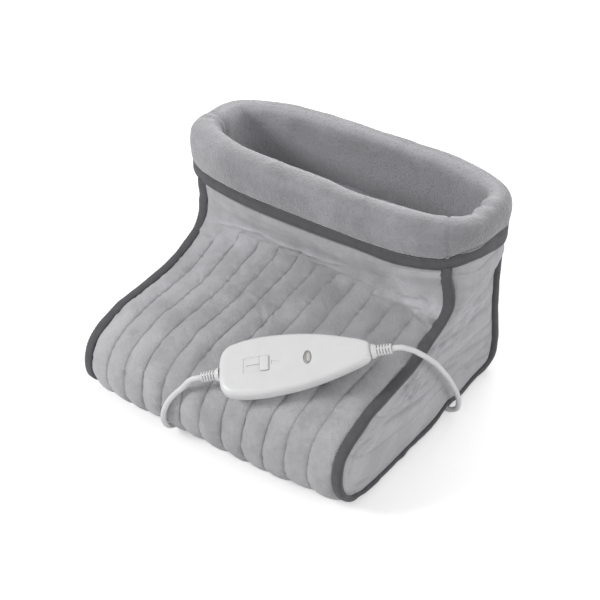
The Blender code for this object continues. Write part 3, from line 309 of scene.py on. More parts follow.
def oval_share(share):
    """The height of the unit superellipse at a share of its half length."""
    return (1 - np.abs(share) ** collar_exponent) ** (1 / collar_exponent)


def collar_rise(y):
    """How much higher the tilted collar lies at y than at its middle."""
    return collar_tilt * (y - collar_y)


def oval_corner(half_width, side):
    """Where a side seam meets the collar's oval: in front (-1) or behind (1)."""
    y = collar_y + side * collar_half_depth * oval_share(half_width / collar_half_length)
    return (half_width, y, seam_height + collar_rise(y))


def squarish(turns, power):
    """The x and y of a unit circle that is drawn out towards the corners of a square."""
    return [np.sign(axis) * np.abs(axis) ** power for axis in (np.cos(turns), np.sin(turns))]


def plane_normals(runs):
    """The unit vectors to the right of each run of a plane path."""
    return np.stack([runs[:, 1], -runs[:, 0]], axis=1) / np.linalg.norm(runs, axis=1)[:, None]


def oval_path(count):
    """The collar's oval from +X round through +Y, evenly spaced and closed."""
    x, y = squarish(np.linspace(0, 2 * math.pi, 40 * count + 1), 2 / collar_exponent)
    return spaced(np.stack([collar_half_length * x, collar_y + collar_half_depth * y], axis=1), count + 1)


def build_seam():
    """The seam loop on the +X side and the share of its length at each knot."""
    knots = [oval_corner(toe_corner_half_width, -1)]
    for along, up, out in SEAM_SHARES:
        z = sole_drop + up * (seam_height - sole_drop)
        knots.append((out * seam_half_width, toe_y + along * seam_depth, z))
    knots.append(oval_corner(heel_corner_half_width, 1))
    at = lengths_along(np.array(knots))
    path = smooth_path(knots, 1200)
    path[:, 2] = np.maximum(path[:, 2], min(knot[2] for knot in knots))
    return path, at / at[-1]


seam, marks = build_seam()
seam_normals = plane_normals(np.gradient(seam[:, 1:], axis=0))
seam_length = lengths_along(seam)[-1]
seam_slack = seam_gap / seam_length
front_length = marks[TOE_SEAM] * seam_length
back_length = (1 - marks[HEEL_SEAM]) * seam_length


def lift_over_cord(distance, height, lift):
    """How far soft fabric near the floor is raised where it lies on a cord."""
    fade = np.maximum(0, 1 - height / lift_fade_height)
    return lift * np.exp(-((distance / lift_width) ** 2) / 2) * fade


def swell(share, corner_share):
    """A crown that is flat in the middle and falls to zero at the corners."""
    low = oval_share(corner_share)
    return (oval_share(share * corner_share) - low) / (1 - low)


def front_crown(side, v):
    """How far the front stands off the seam loop."""
    corner_share = toe_corner_half_width / collar_half_length
    shares, crowns = np.array(FRONT_CROWN_SHARES).T
    to_oval = collar_half_depth * (1 - oval_share(corner_share))
    crown = np.interp(v, [*shares, 1], [*(crowns * toe_crown), to_oval])
    under = (sole_drop - seam_proud) * (1 - eased(v / 0.12))
    return seam_proud + under + crown * swell(side, corner_share)


def back_crown(side, v):
    """How far the back stands off the seam loop."""
    corner_share = heel_corner_half_width / collar_half_length
    to_oval = collar_half_depth * (1 - oval_share(corner_share))
    crown = heel_crown * np.sin(math.pi * v) + to_oval * (1 - v) ** 3
    under = (sole_drop - seam_proud) * eased((v - 0.9) / 0.1)
    return seam_proud + under + crown * swell(side, corner_share)


def sole_rise(side, v):
    return sole_drop + 0 * side


# The boot sags to its right: how far its toe leans over, and how far the top of its right seam
# swings out
toe_lean = 0.0055
seam_swing = (0.0050, 0.0027)


def leaned(x, y, z):
    """A point's x and y, carried over by the lean of the toe and the swing of the right seam."""
    slope = eased((z - 0.012) / 0.045) * eased((0.128 - z) / 0.035) * eased((0.030 - y) / 0.060)
    slope = slope * (0.4 + 0.6 * eased((y + 0.150) / 0.035))
    ahead = eased((x - 0.085) / 0.055) * eased((0.085 - y) / 0.045)
    swing = ahead * eased((z - 0.100) / 0.034)
    tip = 0.0014 * ahead * eased((z - 0.160) / 0.010)
    foot = 0.0038 * eased((x - 0.100) / 0.050) * eased((0.070 - z) / 0.060) * eased((0.110 - y) / 0.060)
    shoulder = eased((-0.085 - x) / 0.055) * eased((0.085 - y) / 0.045) * eased((z - 0.143) / 0.024)
    tip = tip + 0.0050 * shoulder
    over = toe_lean * slope + seam_swing[0] * swing + tip + foot
    return x + over, y + seam_swing[1] * swing - 0.0018 * shoulder


def wrap(first, last, rise, inset):
    """The face of a panel across the boot, between two marks of the seam loop."""

    def place(u, v):
        share = first + v * (last - first)
        edge = sample(seam, share)
        normal = sample(seam_normals, share)
        x = (2 * u - 1) * (edge[..., 0] - inset)
        out = rise(np.clip(x / (edge[..., 0] - seam_inset), -1, 1), v)
        y = edge[..., 1] + out * normal[..., 0]
        z = np.maximum(edge[..., 2] + out * normal[..., 1], 0)
        z = z + collar_tilt * (y - edge[..., 1]) * eased((z / seam_height - 0.9) / 0.1)
        z = z + lift_over_cord(x - mains_cord_x, z, sole_lift)
        return np.stack([*leaned(x, y, z), z], axis=-1)

    return place


def oval_arc(inset):
    """The oval between the two corners on the +X side, pulled in from both by the inset."""
    start = np.array(oval_corner(toe_corner_half_width, -1))
    end = np.array(oval_corner(heel_corner_half_width, 1))
    ring = oval_path(400)
    ring = np.concatenate([ring[200:-1], ring[:201]])
    keep = (ring[:, 0] > 0) & (ring[:, 1] > start[1]) & (ring[:, 1] < end[1])
    arc = np.vstack([start[:2], ring[keep], end[:2]])
    at = lengths_along(arc)
    arc = between(np.linspace(inset, at[-1] - inset, 60), at, arc)
    return np.column_stack([arc, seam_height - top_drop + collar_rise(arc[:, 1])])


def side_surface(side, inset, puff):
    """The face of a side panel, this far inside the seam loop."""
    inner = seam.copy()
    inner[:, 1:] -= inset * seam_normals
    top = oval_arc(inset)

    def place(u, v):
        left = sample(inner, marks[TOE_CORNER] * (1 - v))
        right = sample(inner, marks[HEEL_CORNER] + v * (1 - marks[HEEL_CORNER]))
        low = sample(inner, marks[TOE_CORNER] + u * (marks[HEEL_CORNER] - marks[TOE_CORNER]))
        high = sample(top, u)
        flat_x = (1 - u) * top[0][0] + u * top[-1][0]
        out = (high[..., 0] - flat_x) * eased((v - side_flare_share) / (1 - side_flare_share))
        high = np.stack([flat_x, high[..., 1], high[..., 2]], axis=-1)
        u1, v1 = u[..., None], v[..., None]
        corners = (1 - u1) * (1 - v1) * sample(inner, marks[TOE_CORNER])
        corners = corners + u1 * (1 - v1) * sample(inner, marks[HEEL_CORNER])
        corners = corners + (1 - u1) * v1 * top[0] + u1 * v1 * top[-1]
        point = (1 - u1) * left + u1 * right + (1 - v1) * low + v1 * high - corners
        crown = side_crown * np.sin(math.pi * u) * np.sin(math.pi * v)
        x = point[..., 0] + out + crown + puff(u, v)
        z = np.minimum(point[..., 2], seam_height - top_drop + collar_rise(point[..., 1]))
        if side > 0:
            z = z + lift_over_cord(point[..., 1] - lead_entry_y, z - inset, edge_lift)
        return np.stack([*leaned(side * x, point[..., 1], z), z], axis=-1)

    return place


def grid(rows, columns):
    """Two arrays of u and v over rows and columns of shares."""
    return np.meshgrid(np.array(columns), np.array(rows))


def even(count):
    """The shares that divide the way from 0 to 1 into equal steps."""
    return np.linspace(0, 1, count + 1)


def channel_columns(count, steps):
    """Columns of shares that gather at the seams between the channels."""
    within = 0.5 - 0.5 * np.cos(math.pi * np.arange(steps) / steps)
    return np.append(np.concatenate([(k + within) / count for k in range(count)]), 1.0)


def quads(index):
    """The faces between the rows and columns of an array of vertex numbers."""
    corners = [index[:-1, :-1], index[:-1, 1:], index[1:, 1:], index[1:, :-1]]
    return np.stack(corners, axis=-1).reshape(-1, 4)


def add(name, data, material=None):
    """Puts a mesh, a curve, a light or a camera into the scene."""
    if material:
        data.materials.append(material)
    obj = bpy.data.objects.new(name, data)
    bpy.context.scene.collection.objects.link(obj)
    return obj


def make_mesh(name, points, faces, material, angle=180):
    """A smooth mesh from arrays of points and faces; edges sharper than the angle stay crisp."""
    mesh = bpy.data.meshes.new(name)
    mesh.from_pydata(points.tolist(), [], faces.tolist())
    sharpen(mesh, angle)
    return add(name, mesh, material)


def sharpen(mesh, angle=35):
    """Shades a mesh smooth and keeps its edges sharper than the angle, in degrees, crisp."""
    mesh.shade_smooth()
    if angle < 180:
        mesh.set_sharp_from_angle(angle=math.radians(angle))


def grid_mesh(name, points, material, closed=False, flip=False):
    """A smooth surface over a grid of points; closed joins its last column to its first."""
    rows, columns = points.shape[:2]
    index = np.arange(rows * columns).reshape(rows, columns)
    if closed:
        index = np.column_stack([index, index[:, 0]])
    faces = quads(index)
    if flip:
        faces = faces[:, ::-1]
    return make_mesh(name, points.reshape(-1, 3), faces, material)


def weld(obj, distance, parting=None):
    """Joins a mesh's points closer than the distance and turns its faces outwards."""
    bm = bmesh.new()
    bm.from_mesh(obj.data)
    bmesh.ops.remove_doubles(bm, verts=bm.verts, dist=distance)
    bmesh.ops.recalc_face_normals(bm, faces=bm.faces)
    if parting is not None:
        lies = sum(face.calc_center_median().z - parting for face in bm.faces)
        looks = sum(face.normal.z * face.calc_area() for face in bm.faces)
        if lies * looks < 0:
            bmesh.ops.reverse_faces(bm, faces=bm.faces)
    bm.to_mesh(obj.data)
    bm.free()


def thicken(obj, thickness, depth=0.0):
    """Gives a sheet its thickness to the inner side, from this deep inside its face."""
    solidify = obj.modifiers.new("thickness", "SOLIDIFY")
    solidify.thickness = thickness
    solidify.offset = -1 - 2 * depth / thickness
    return obj


def paint(obj, name, values):
    """Stores one number a point, which a material reads by its name."""
    attribute = obj.data.attributes.new(name, "FLOAT", "POINT")
    attribute.data.foreach_set("value", values.reshape(-1).astype(np.float32))


def settle(obj):
    """Applies a piece's modifiers."""
    graph = bpy.context.evaluated_depsgraph_get()
    mesh = bpy.data.meshes.new_from_object(obj.evaluated_get(graph))
    obj.modifiers.clear()
    obj.data = mesh
    sharpen(mesh)


def cut(obj, cutters):
    """Cuts the cutters out of a piece and removes them."""
    for cutter in cutters:
        boolean = obj.modifiers.new("cut", "BOOLEAN")
        boolean.solver = "EXACT"
        boolean.object = cutter
    settle(obj)
    for cutter in cutters:
        bpy.data.objects.remove(cutter, do_unlink=True)


def box(name, low, high, material, edge=0.0, segments=3):
    """A box between two corners, with rounded edges."""
    bm = bmesh.new()
    bmesh.ops.create_cube(bm, size=1.0)
    low, high = Vector(low), Vector(high)
    for vert in bm.verts:
        vert.co = Vector(low[k] + (vert.co[k] + 0.5) * (high[k] - low[k]) for k in range(3))
    if edge:
        bmesh.ops.bevel(bm, geom=bm.edges, offset=edge, segments=segments, profile=0.5, affect="EDGES")
    return finished(name, bm, material)


def cylinder(name, radius, low, high, material):
    """An upright cylinder round Z."""
    bm = bmesh.new()
    bmesh.ops.create_cone(bm, cap_ends=True, segments=48, radius1=radius, radius2=radius, depth=high - low)
    bmesh.ops.translate(bm, vec=(0, 0, (low + high) / 2), verts=bm.verts)
    return finished(name, bm, material)


def finished(name, bm, material, matrix=None):
    """Makes a piece of a bmesh and frees it."""
    if matrix is not None:
        bmesh.ops.transform(bm, matrix=matrix, verts=bm.verts)
    mesh = bpy.data.meshes.new(name)
    bm.to_mesh(mesh)
    bm.free()
    sharpen(mesh)
    return add(name, mesh, material)


def declare(obj, slot, *nodes, body="warmer", fill=None):
    """Attaches a piece to the body it rides on and hides the model nodes it stands for; its slot and its filling
    are not used.
    """
    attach(obj, body)
    if nodes:
        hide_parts(*nodes)
    return obj


def feed(tree, socket, value):
    """Links an output to a socket, or sets the socket to a constant."""
    if hasattr(value, "is_output"):
        tree.links.new(value, socket)
    else:
        socket.default_value = value


def add_node(tree, kind, fed=(), **values):
    """A node with its settings made and its inputs fed, by name or as (number, value)."""
    made = tree.nodes.new(kind)
    for key, value in values.items():
        socket = key.replace("_", " ")
        if socket in made.inputs:
            feed(tree, made.inputs[socket], value)
        else:
            setattr(made, key, value)
    for number, value in fed:
        feed(tree, made.inputs[number], value)
    return made


class Shader:
    """A Principled material and a few ways to give it texture."""

    def __init__(self, name, color, roughness, **values):
        self.material = bpy.data.materials.new(name)
        self.material.use_nodes = True
        self.tree = self.material.node_tree
        self.base = self.tree.nodes["Principled BSDF"].inputs
        self.color = color
        self.tint = (*color, 1.0)
        for key, value in {"Base_Color": self.tint, "Roughness": roughness, **values}.items():
            self.base[key.replace("_", " ")].default_value = value
        self.coordinates = self.node("ShaderNodeTexCoord").outputs["Object"]
        self.normal = None
        self.stretch = (1, 1, 1)

    def node(self, kind, fed=(), **values):
        return add_node(self.tree, kind, fed, **values)

    def attribute(self, name):
        return self.node("ShaderNodeAttribute", attribute_name=name).outputs["Fac"]

    def lumps(self, size, detail=2.0, stretch=None):
        stretch = stretch or self.stretch
        vector = self.node("ShaderNodeMapping", Vector=self.coordinates, Scale=stretch).outputs["Vector"]
        made = self.node("ShaderNodeTexNoise", Vector=vector, Scale=1 / size, Detail=detail)
        return made.outputs["Fac"]

    def mix(self, factor, low, high, other):
        """Turns the colour towards another where the factor goes from low to high."""
        ramp = self.node("ShaderNodeMapRange", Value=factor, From_Min=low, From_Max=high)
        colors = ((6, self.tint), (7, (*other, 1.0)))
        mixer = self.node("ShaderNodeMix", colors, data_type="RGBA", Factor=ramp.outputs["Result"])
        self.tint = mixer.outputs[2]
        feed(self.tree, self.base["Base Color"], self.tint)

    def mottle(self, size, amount):
        """Lighter and darker patches this far from the colour."""
        darker = tuple(c * (1 - amount) for c in self.color)
        lighter = tuple(min(1, c * (1 + amount)) for c in self.color)
        self.mix(self.lumps(size, 3.0), 0.5, 0.28, darker)
        self.mix(self.lumps(size * 0.8, 3.0), 0.5, 0.75, lighter)

    def bump(self, height, distance, strength):
        made = self.node("ShaderNodeBump", Height=height, Distance=distance, Strength=strength)
        if self.normal is not None:
            feed(self.tree, made.inputs["Normal"], self.normal)
        self.normal = made.outputs["Normal"]
        feed(self.tree, self.base["Normal"], self.normal)


def fleece(name, color, amount, pile, sheen, deep=None, clumps=0.6, stretch=(1, 1, 1), light=1.25):
    """Short or long pile: random patches, fibre clumps and a soft sheen, with painted shade at the seams,
    painted light inside the collar, and painted shade and highlight from nap_and_shade.
    """
    shader = Shader(name, color, 0.95, Sheen_Weight=sheen, Sheen_Roughness=0.45, Specular_IOR_Level=0.15)
    shader.stretch = stretch
    shader.mottle(0.024, amount)
    shader.mottle(0.007, amount * 0.7)
    # nap_and_shade darkens towards -1 and lightens towards 1: random pile patches mixed with painted shade in
    # creases and painted highlight on fold ridges, lit sides and rims
    shader.mix(shader.attribute("nap_and_shade"), 0.0, -1.0, tuple(c * 0.74 for c in color))
    shader.mix(shader.attribute("nap_and_shade"), 0.0, 1.0, tuple(min(1, c * light) for c in color))
    # painted light: where inner is 1, inside the collar, the pile turns to the lighter deep colour to stand in
    # for light reaching in
    if deep:
        shader.mix(shader.attribute("inner"), 0.0, 1.0, deep)
    shader.mix(shader.lumps(pile, 3.0), 0.42, 0.2, tuple(c * 0.8 for c in color))
    # painted shade: darker where the seam attribute is high, in the valleys along the quilted seams
    shader.mix(shader.attribute("seam"), 0.15, 1.0, tuple(c * 0.74 for c in color))
    shader.bump(shader.lumps(pile * 4, 2.0), pile * 0.7, 0.5)
    shader.bump(shader.lumps(pile, 4.0), pile * clumps, 0.8)
    shader.bump(shader.lumps(pile / 4, 2.0), pile * 0.15, 0.6)
    return shader.material


def woven(name, color, thread):
    """Tape or cloth with crossing ribs a thread apart."""
    shader = Shader(name, color, 0.85, Sheen_Weight=0.15, Specular_IOR_Level=0.25)
    shader.mottle(0.012, 0.14)
    for direction in ("X", "Y", "Z"):
        wave = shader.node(
            "ShaderNodeTexWave", Vector=shader.coordinates, Scale=1 / (6.3 * thread), Distortion=0.4,
            bands_direction=direction,
        )
        shader.bump(wave.outputs["Fac"], thread * 0.25, 0.35)
    return shader.material


def plastic(name, color, roughness, coat=0.0):
    """Moulded plastic with a barely uneven skin."""
    shader = Shader(name, color, roughness, Coat_Weight=coat, Coat_Roughness=0.15)
    shader.mottle(0.02, 0.025)
    shader.bump(shader.lumps(0.0005, 2.0), 0.00001, 0.3)
    shader.bump(shader.lumps(0.015, 1.0), 0.00015, 0.25)
    return shader.material


def metal(name, color, roughness):
    """Metal with faint marks along one way."""
    shader = Shader(name, color, roughness, Metallic=1.0)
    shader.mottle(0.004, 0.08)
    shader.bump(shader.lumps(0.0006, 2.0, (1, 1, 12)), 0.00002, 0.5)
    return shader.material


quilt_cloth = fleece("quilt_cloth", (0.45, 0.448, 0.466), 0.12, 0.0014, 0.35, clumps=0.95)
side_cloth = fleece("side_cloth", (0.45, 0.448, 0.468), 0.07, 0.0014, 0.35, stretch=(1, 0.30, 0.8))
# plush: the second, lighter colour is painted light inside the collar, and light=1.6 sets how far the painted
# highlight on the rim lifts the colour
plush = fleece(
    "plush_pile", (0.285, 0.283, 0.300), 0.13, 0.0022, 0.9, (0.385, 0.383, 0.407), clumps=0.8, light=1.6
)
lining_plush = fleece("lining_pile", (0.45, 0.447, 0.475), 0.10, 0.0022, 0.5)
tape = woven("binding_tape", (0.097, 0.097, 0.104), 0.0009)
sole_cloth = woven("sole_cloth_weave", (0.12, 0.12, 0.13), 0.0014)
felt = fleece("felt_pad", (0.72, 0.70, 0.66), 0.05, 0.0012, 0.2)
wadding = fleece("wadding_fibre", (0.82, 0.82, 0.81), 0.04, 0.0035, 0.2)
foam = fleece("foam_cells", (0.80, 0.78, 0.68), 0.05, 0.0010, 0.0)
white_plastic = plastic("white_moulding", (0.70, 0.70, 0.705), 0.36, 0.05)
cord_plastic = plastic("cord_vinyl", (0.70, 0.70, 0.71), 0.45)
black_plastic = plastic("black_moulding", (0.03, 0.03, 0.03), 0.5)
lens_plastic = plastic("smoked_lens", (0.28, 0.275, 0.265), 0.35, 0.0)
lens_highlight_bar = plastic("lens_highlight", (0.50, 0.495, 0.48), 0.3)
laminate = plastic("board_laminate", (0.05, 0.20, 0.09), 0.5)
sleeve = plastic("wire_sleeve", (0.75, 0.30, 0.20), 0.5)
steel = metal("plated_steel", (0.60, 0.60, 0.60), 0.3)
brass = metal("plain_brass", (0.75, 0.62, 0.38), 0.28)
thread = woven("sewing_thread", (0.30, 0.30, 0.31), 0.0004)
dark_thread = woven("dark_thread", (0.06, 0.06, 0.065), 0.0004)


def aim(obj, place, way):
    """Puts a camera or a lamp in its place, looking this way."""
    obj.location = place
    obj.rotation_mode = "QUATERNION"
    obj.rotation_quaternion = way.to_track_quat("-Z", "Y")


def make_camera():
    """The photograph's camera."""
    camera = add("camera", bpy.data.cameras.new("camera"))
    camera.data.sensor_width = SENSOR_MM
    camera.data.lens = FOCAL_PX / IMAGE_PX * SENSOR_MM
    azimuth, elevation = CAMERA_AZIMUTH, CAMERA_ELEVATION
    flat = math.cos(elevation)
    back = Vector((math.sin(azimuth) * flat, -math.cos(azimuth) * flat, math.sin(elevation)))
    aim(camera, CAMERA_PLACE, -back)
    bpy.context.scene.camera = camera


def control_frame():
    """The matrix that carries the control, read from its circuit board."""
    turn = Matrix.Rotation(control_yaw, 3, "Z") @ Matrix.Rotation(-control_pitch, 3, "Y")
    turn = turn @ Matrix.Rotation(control_roll, 3, "X")
    low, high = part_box("circuit_board")
    middle = Vector((board_x, 0, board_z + board_thickness / 2))
    return Matrix.Translation((low + high) / 2 - turn @ middle) @ turn.to_4x4()


hub = control_frame()


def control_thin(x):
    """The share of its full height that the control has at x: it thins towards the warmer lead."""
    return 1 - control_narrow_share * eased(x / control_length + control_taper_start_share)


def cord_exit(side):
    """The point where a cord leaves its strain relief, and the way it points there."""
    point = hub @ Vector((side * relief_tip_x, 0, parting_z))
    return np.array(point), np.array(hub.to_3x3() @ Vector((side, 0, 0)))


def cord_path(start, start_way, route, end, end_way):
    """A smooth path through the route's points that leaves and arrives square, for one diameter."""
    first = start + start_way * cord_diameter
    last = end - end_way * cord_diameter
    knots = [first] + [np.array(point) for point in route] + [last]
    length = lengths_along(smooth_path(knots, 400))[-1]
    curve = smooth_path(knots, max(3, round(length / cord_radius)), (start_way, end_way))
    return np.vstack([start, curve, end])


def coil_point(turns):
    """The middle of the coiled cord after this many turns, from +X towards +Y."""
    reverse = coil_layer_turns + 0.25
    inwards = min(turns, reverse)
    outwards = max(0, turns - reverse)
    radius = coil_radius - coil_pitch * (inwards - outwards)
    climb = min(max((turns - coil_layer_turns) * 2, 0), 1)
    angle = 2 * math.pi * turns
    z = coil_low_z + coil_pitch * climb
    return np.array((coil_x + radius * math.cos(angle), coil_y + radius * math.sin(angle), z))


def flex(name, points, material):
    """A cord as one curve of the cord's diameter, closed at its ends."""
    curve = bpy.data.curves.new(name, "CURVE")
    curve.dimensions = "3D"
    spline = curve.splines.new("POLY")
    spline.points.add(len(points) - 1)
    for target, point in zip(spline.points, points):
        target.co = (*point, 1.0)
    curve.bevel_depth = cord_radius
    curve.bevel_resolution = 6
    curve.use_fill_caps = True
    return add(name, curve, material)


def make_cords():
    """The mains cord in one length with its coil, and the lead to the warmer."""
    forward, right = np.array((0, 1, 0)), np.array((1, 0, 0))
    total = coil_layer_turns + 0.5 + coil_outer_turns
    turns = [coil_point(step / 48) for step in range(round(total * 48) + 1)]
    coil_start = turns[0] - forward * cord_diameter
    coil_end = turns[-1] + right * cord_diameter
    point, way = cord_exit(-1)
    run = cord_path(point, way, MAINS_ROUTE, coil_start - forward * gap, forward)
    plug_face = np.array((plug_x - gap, plug_y, plug_z))
    tail = cord_path(coil_end + right * gap, right, PLUG_ROUTE, plug_face, right)
    mains = np.vstack([run, coil_start, turns, coil_end, tail])
    cord = flex("mains_flex", mains, cord_plastic)
    declare(cord, "cord_plastic", "mains_cord", "mains_coil", "plug_lead")
    lead_start, lead_way = cord_exit(1)
    lead_path = cord_path(lead_start, lead_way, LEAD_ROUTE, np.array(gland_tip), -right)
    lead = flex("warmer_flex", lead_path, cord_plastic)
    declare(lead, "cord_plastic", "warmer_lead")
    return (cord, mains), (lead, lead_path)


make_camera()
cords = make_cords()

# Where the fingers of the front quilt end, in metres up from the toe's seam
FINGER_ENDS = [0.261, 0.266, 0.280, 0.2845, 0.2865, 0.290, 0.2805, 0.279, 0.278, 0.267, 0.267, 0.264]


def puff_share(share):
    """The round profile of a stuffed channel, from 0 on its seam to 1 in its middle."""
    return (1 - (1 - np.clip(share, 0, 1)) ** 2.2) ** 0.72


def strokes_field(x, s, strokes):
    """Creases and folds: each a line between two points with a half width and a height."""
    total = np.zeros(x.shape)
    for x0, s0, x1, s1, width, height in strokes:
        run = np.array((x1 - x0, s1 - s0))
        length = np.hypot(*run)
        along = ((x - x0) * run[0] + (s - s0) * run[1]) / length**2
        near = np.clip(along, 0, 1)
        away = np.hypot(x - x0 - near * run[0], s - s0 - near * run[1])
        bend = np.sin(math.pi * near) ** 0.5
        total += height * np.exp(-((away / width) ** 2)) * (0.35 + 0.65 * bend)
    return total


# Folds and creases: two ends across and along the panel, the half width and the height
FRONT_FOLDS = [
    (0.1074, 0.3114, 0.1172, 0.2740, 0.0040, 0.0024), (0.1126, 0.2778, 0.1323, 0.2837, 0.0024, -0.0020),
    (0.1149, 0.2718, 0.1512, 0.2745, 0.0032, 0.0030), (0.1270, 0.2881, 0.1512, 0.2615, 0.0024, -0.0024),
    (0.1368, 0.2648, 0.1512, 0.2523, 0.0026, 0.0026), (0.1172, 0.2685, 0.1323, 0.2626, 0.0024, 0.0016),
    (0.1247, 0.2626, 0.1489, 0.2539, 0.0020, -0.0018), (0.1406, 0.2870, 0.1512, 0.2691, 0.0030, 0.0016),
    (0.0953, 0.2658, 0.0937, 0.2360, 0.0020, -0.0009),
    (-0.0953, 0.2919, -0.0635, 0.2989, 0.0026, 0.0018),
    (-0.0635, 0.2989, -0.0461, 0.2940, 0.0026, 0.0018),
    (-0.0461, 0.2940, -0.0144, 0.2951, 0.0026, 0.0016),
    (-0.0144, 0.2951, 0.0174, 0.2930, 0.0026, 0.0016), (0.0174, 0.2930, 0.0469, 0.3000, 0.0024, 0.0012),
    (-0.0151, 0.1953, 0.0076, 0.1747, 0.0015, 0.0014),
    (-0.0159, 0.1893, 0.0038, 0.1676, 0.0012, -0.0012),
    (-0.0136, 0.2045, 0.0060, 0.1839, 0.0012, -0.0011),
    (-0.0091, 0.2072, 0.0076, 0.1709, 0.0015, 0.0009),
    (-0.0438, 0.2051, -0.0287, 0.2045, 0.0018, -0.0008),
    (-0.0431, 0.1986, -0.0212, 0.2002, 0.0022, 0.0009),
    (-0.0242, 0.0656, -0.0151, 0.0792, 0.0016, -0.0009),
    (-0.1459, 0.2740, -0.0983, 0.2919, 0.0026, 0.0012),
    (0.1421, 0.1085, 0.1353, 0.1302, 0.0018, -0.0008), (0.1368, 0.0933, 0.1399, 0.1118, 0.0020, 0.0008),
    (-0.012, 0.214, -0.002, 0.196, 0.0014, -0.0008), (-0.006, 0.224, 0.004, 0.208, 0.0020, 0.0008),
    (0.034, 0.236, 0.050, 0.222, 0.0018, -0.0007), (-0.078, 0.240, -0.068, 0.222, 0.0018, -0.0008),
    (-0.110, 0.206, -0.101, 0.192, 0.0016, -0.0007), (0.060, 0.052, 0.071, 0.060, 0.0018, -0.0007),
    (0.086, 0.090, 0.096, 0.104, 0.0020, -0.0008), (0.108, 0.150, 0.118, 0.170, 0.0020, -0.0008),
    (0.126, 0.118, 0.137, 0.132, 0.0018, -0.0008),
]
SIDE_FOLDS = [
    (0.0206, 0.1005, 0.0471, 0.0731, 0.0024, 0.0022), (0.0331, 0.0892, 0.0478, 0.0700, 0.0018, -0.0020),
    (0.0735, 0.0779, 0.0757, 0.0592, 0.0022, 0.0020), (0.1507, 0.0435, 0.0390, 0.0496, 0.0024, -0.0018),
    (0.1257, 0.0583, 0.0301, 0.0626, 0.0026, 0.0018), (0.0147, 0.0339, 0.0154, 0.0174, 0.0022, -0.0018),
    (0.0118, 0.0296, 0.0162, 0.0222, 0.0020, 0.0014), (0.0522, 0.0070, 0.0294, 0.0083, 0.0018, -0.0012),
    (0.0316, 0.0413, 0.0140, 0.0357, 0.0020, -0.0014), (0.0419, 0.0387, 0.0309, 0.0291, 0.0024, 0.0014),
    (0.2103, 0.0444, 0.1493, 0.0509, 0.0026, -0.0014),
    (0.2706, 0.0831, 0.0831, 0.1083, 0.0028, -0.0015),
    (0.2860, 0.0396, 0.1779, 0.0561, 0.0028, -0.0015),
    (0.2926, 0.0113, 0.2243, 0.0261, 0.0026, -0.0014), (0.2537, 0.1035, 0.0272, 0.1414, 0.0030, 0.0014),
    (0.2779, 0.0648, 0.1404, 0.0822, 0.0030, 0.0014), (0.1419, 0.1610, 0.0110, 0.1592, 0.0026, -0.0010),
]


def slant(side, s):
    """How far the front's seams drift to the right as they climb to the ankle."""
    return 0.090 * (1 - np.clip(side, -1, 1) ** 2) * np.clip((s - 0.215) / 0.072, 0, 1.1) ** 1.8


def unslanted(side, s):
    """The share across the quilt where a seam that passes this point starts."""
    start = side
    for _ in range(6):
        start = side - slant(start, s)
    return start


def front_puff(side, v):
    """How far the front quilt stands off its crown: fingers, the band above them, puckers and folds."""
    x, s = side * front_half_width, v * front_length
    wander = ripple(2, x / 0.040, s / 0.050) * 0.07 * (1 - side**6)
    place = np.clip((unslanted(side, s) + 1) / 2 * channel_count + wander, 0, channel_count)
    finger = np.clip(np.floor(place), 0, channel_count - 1).astype(int)
    half = front_half_width / channel_count
    across = half * (1 - 2 * np.abs(place - finger - 0.5))
    end = np.array(FINGER_ENDS)[finger]
    along = end + 0.0015 * noise(x[..., None] / 0.008, 4) - s
    corner = finger_corner
    cut_across, cut_along = np.maximum(corner - across, 0), np.maximum(corner - along, 0)
    inside = corner - np.hypot(cut_across, cut_along)
    inside = np.where((cut_across > 0) & (cut_along > 0), inside, np.minimum(across, along))
    full = 0.86 + 0.14 * ripple(6, finger * 5.1, s / 0.035)
    puff = channel_puff * puff_share(inside / half) * full
    away = np.maximum(0, -inside)
    ridge = 1 - np.exp(-away / 0.0028)
    band = band_puff * ridge * (0.62 + 0.5 * np.exp(-away / 0.010))
    band = band * (0.15 + 0.85 * eased((1 - np.abs(side)) / 0.07))
    puff = np.where(inside > 0, puff, band)
    tips = eased((s - end + 0.022) / 0.018)
    filled = 0.42 + 0.25 * ripple(14, x / 0.021, s / 0.015) + 0.2 * eased((x - 0.05) / 0.04)
    puff = puff + tips * filled * np.maximum(0.0030 - puff, 0)
    near = np.exp(-np.abs(inside) / 0.0042)
    pucker = ripple(3, place * 2.0, s / 0.0042 + place) * 0.0008 * near
    slack = ripple(5, x / 0.013 + s / 0.03, s / 0.019) * 0.0006
    gathered = np.exp(-(((s - end + 0.002) / 0.009) ** 2))
    slack = slack + gathered * 0.0009 * ripple(15, x / 0.0065 + s / 0.02, s / 0.0075)
    soft = ripple(8, x / 0.034, s / 0.040) * 0.0006
    folds = strokes_field(x, s, FRONT_FOLDS) * eased((0.985 - np.abs(side)) / 0.055)
    ends = eased(s / 0.010) * eased((front_length - s) / 0.010)
    low = 0.5 + 0.5 * eased(s / 0.009)
    high = eased((front_length - s) / 0.008) * 0.75 + 0.25
    closing = eased((s - end + 0.010) / 0.007)
    return puff * low * high + (1.35 * pucker + 1.3 * slack + soft + folds) * ends, inside, closing


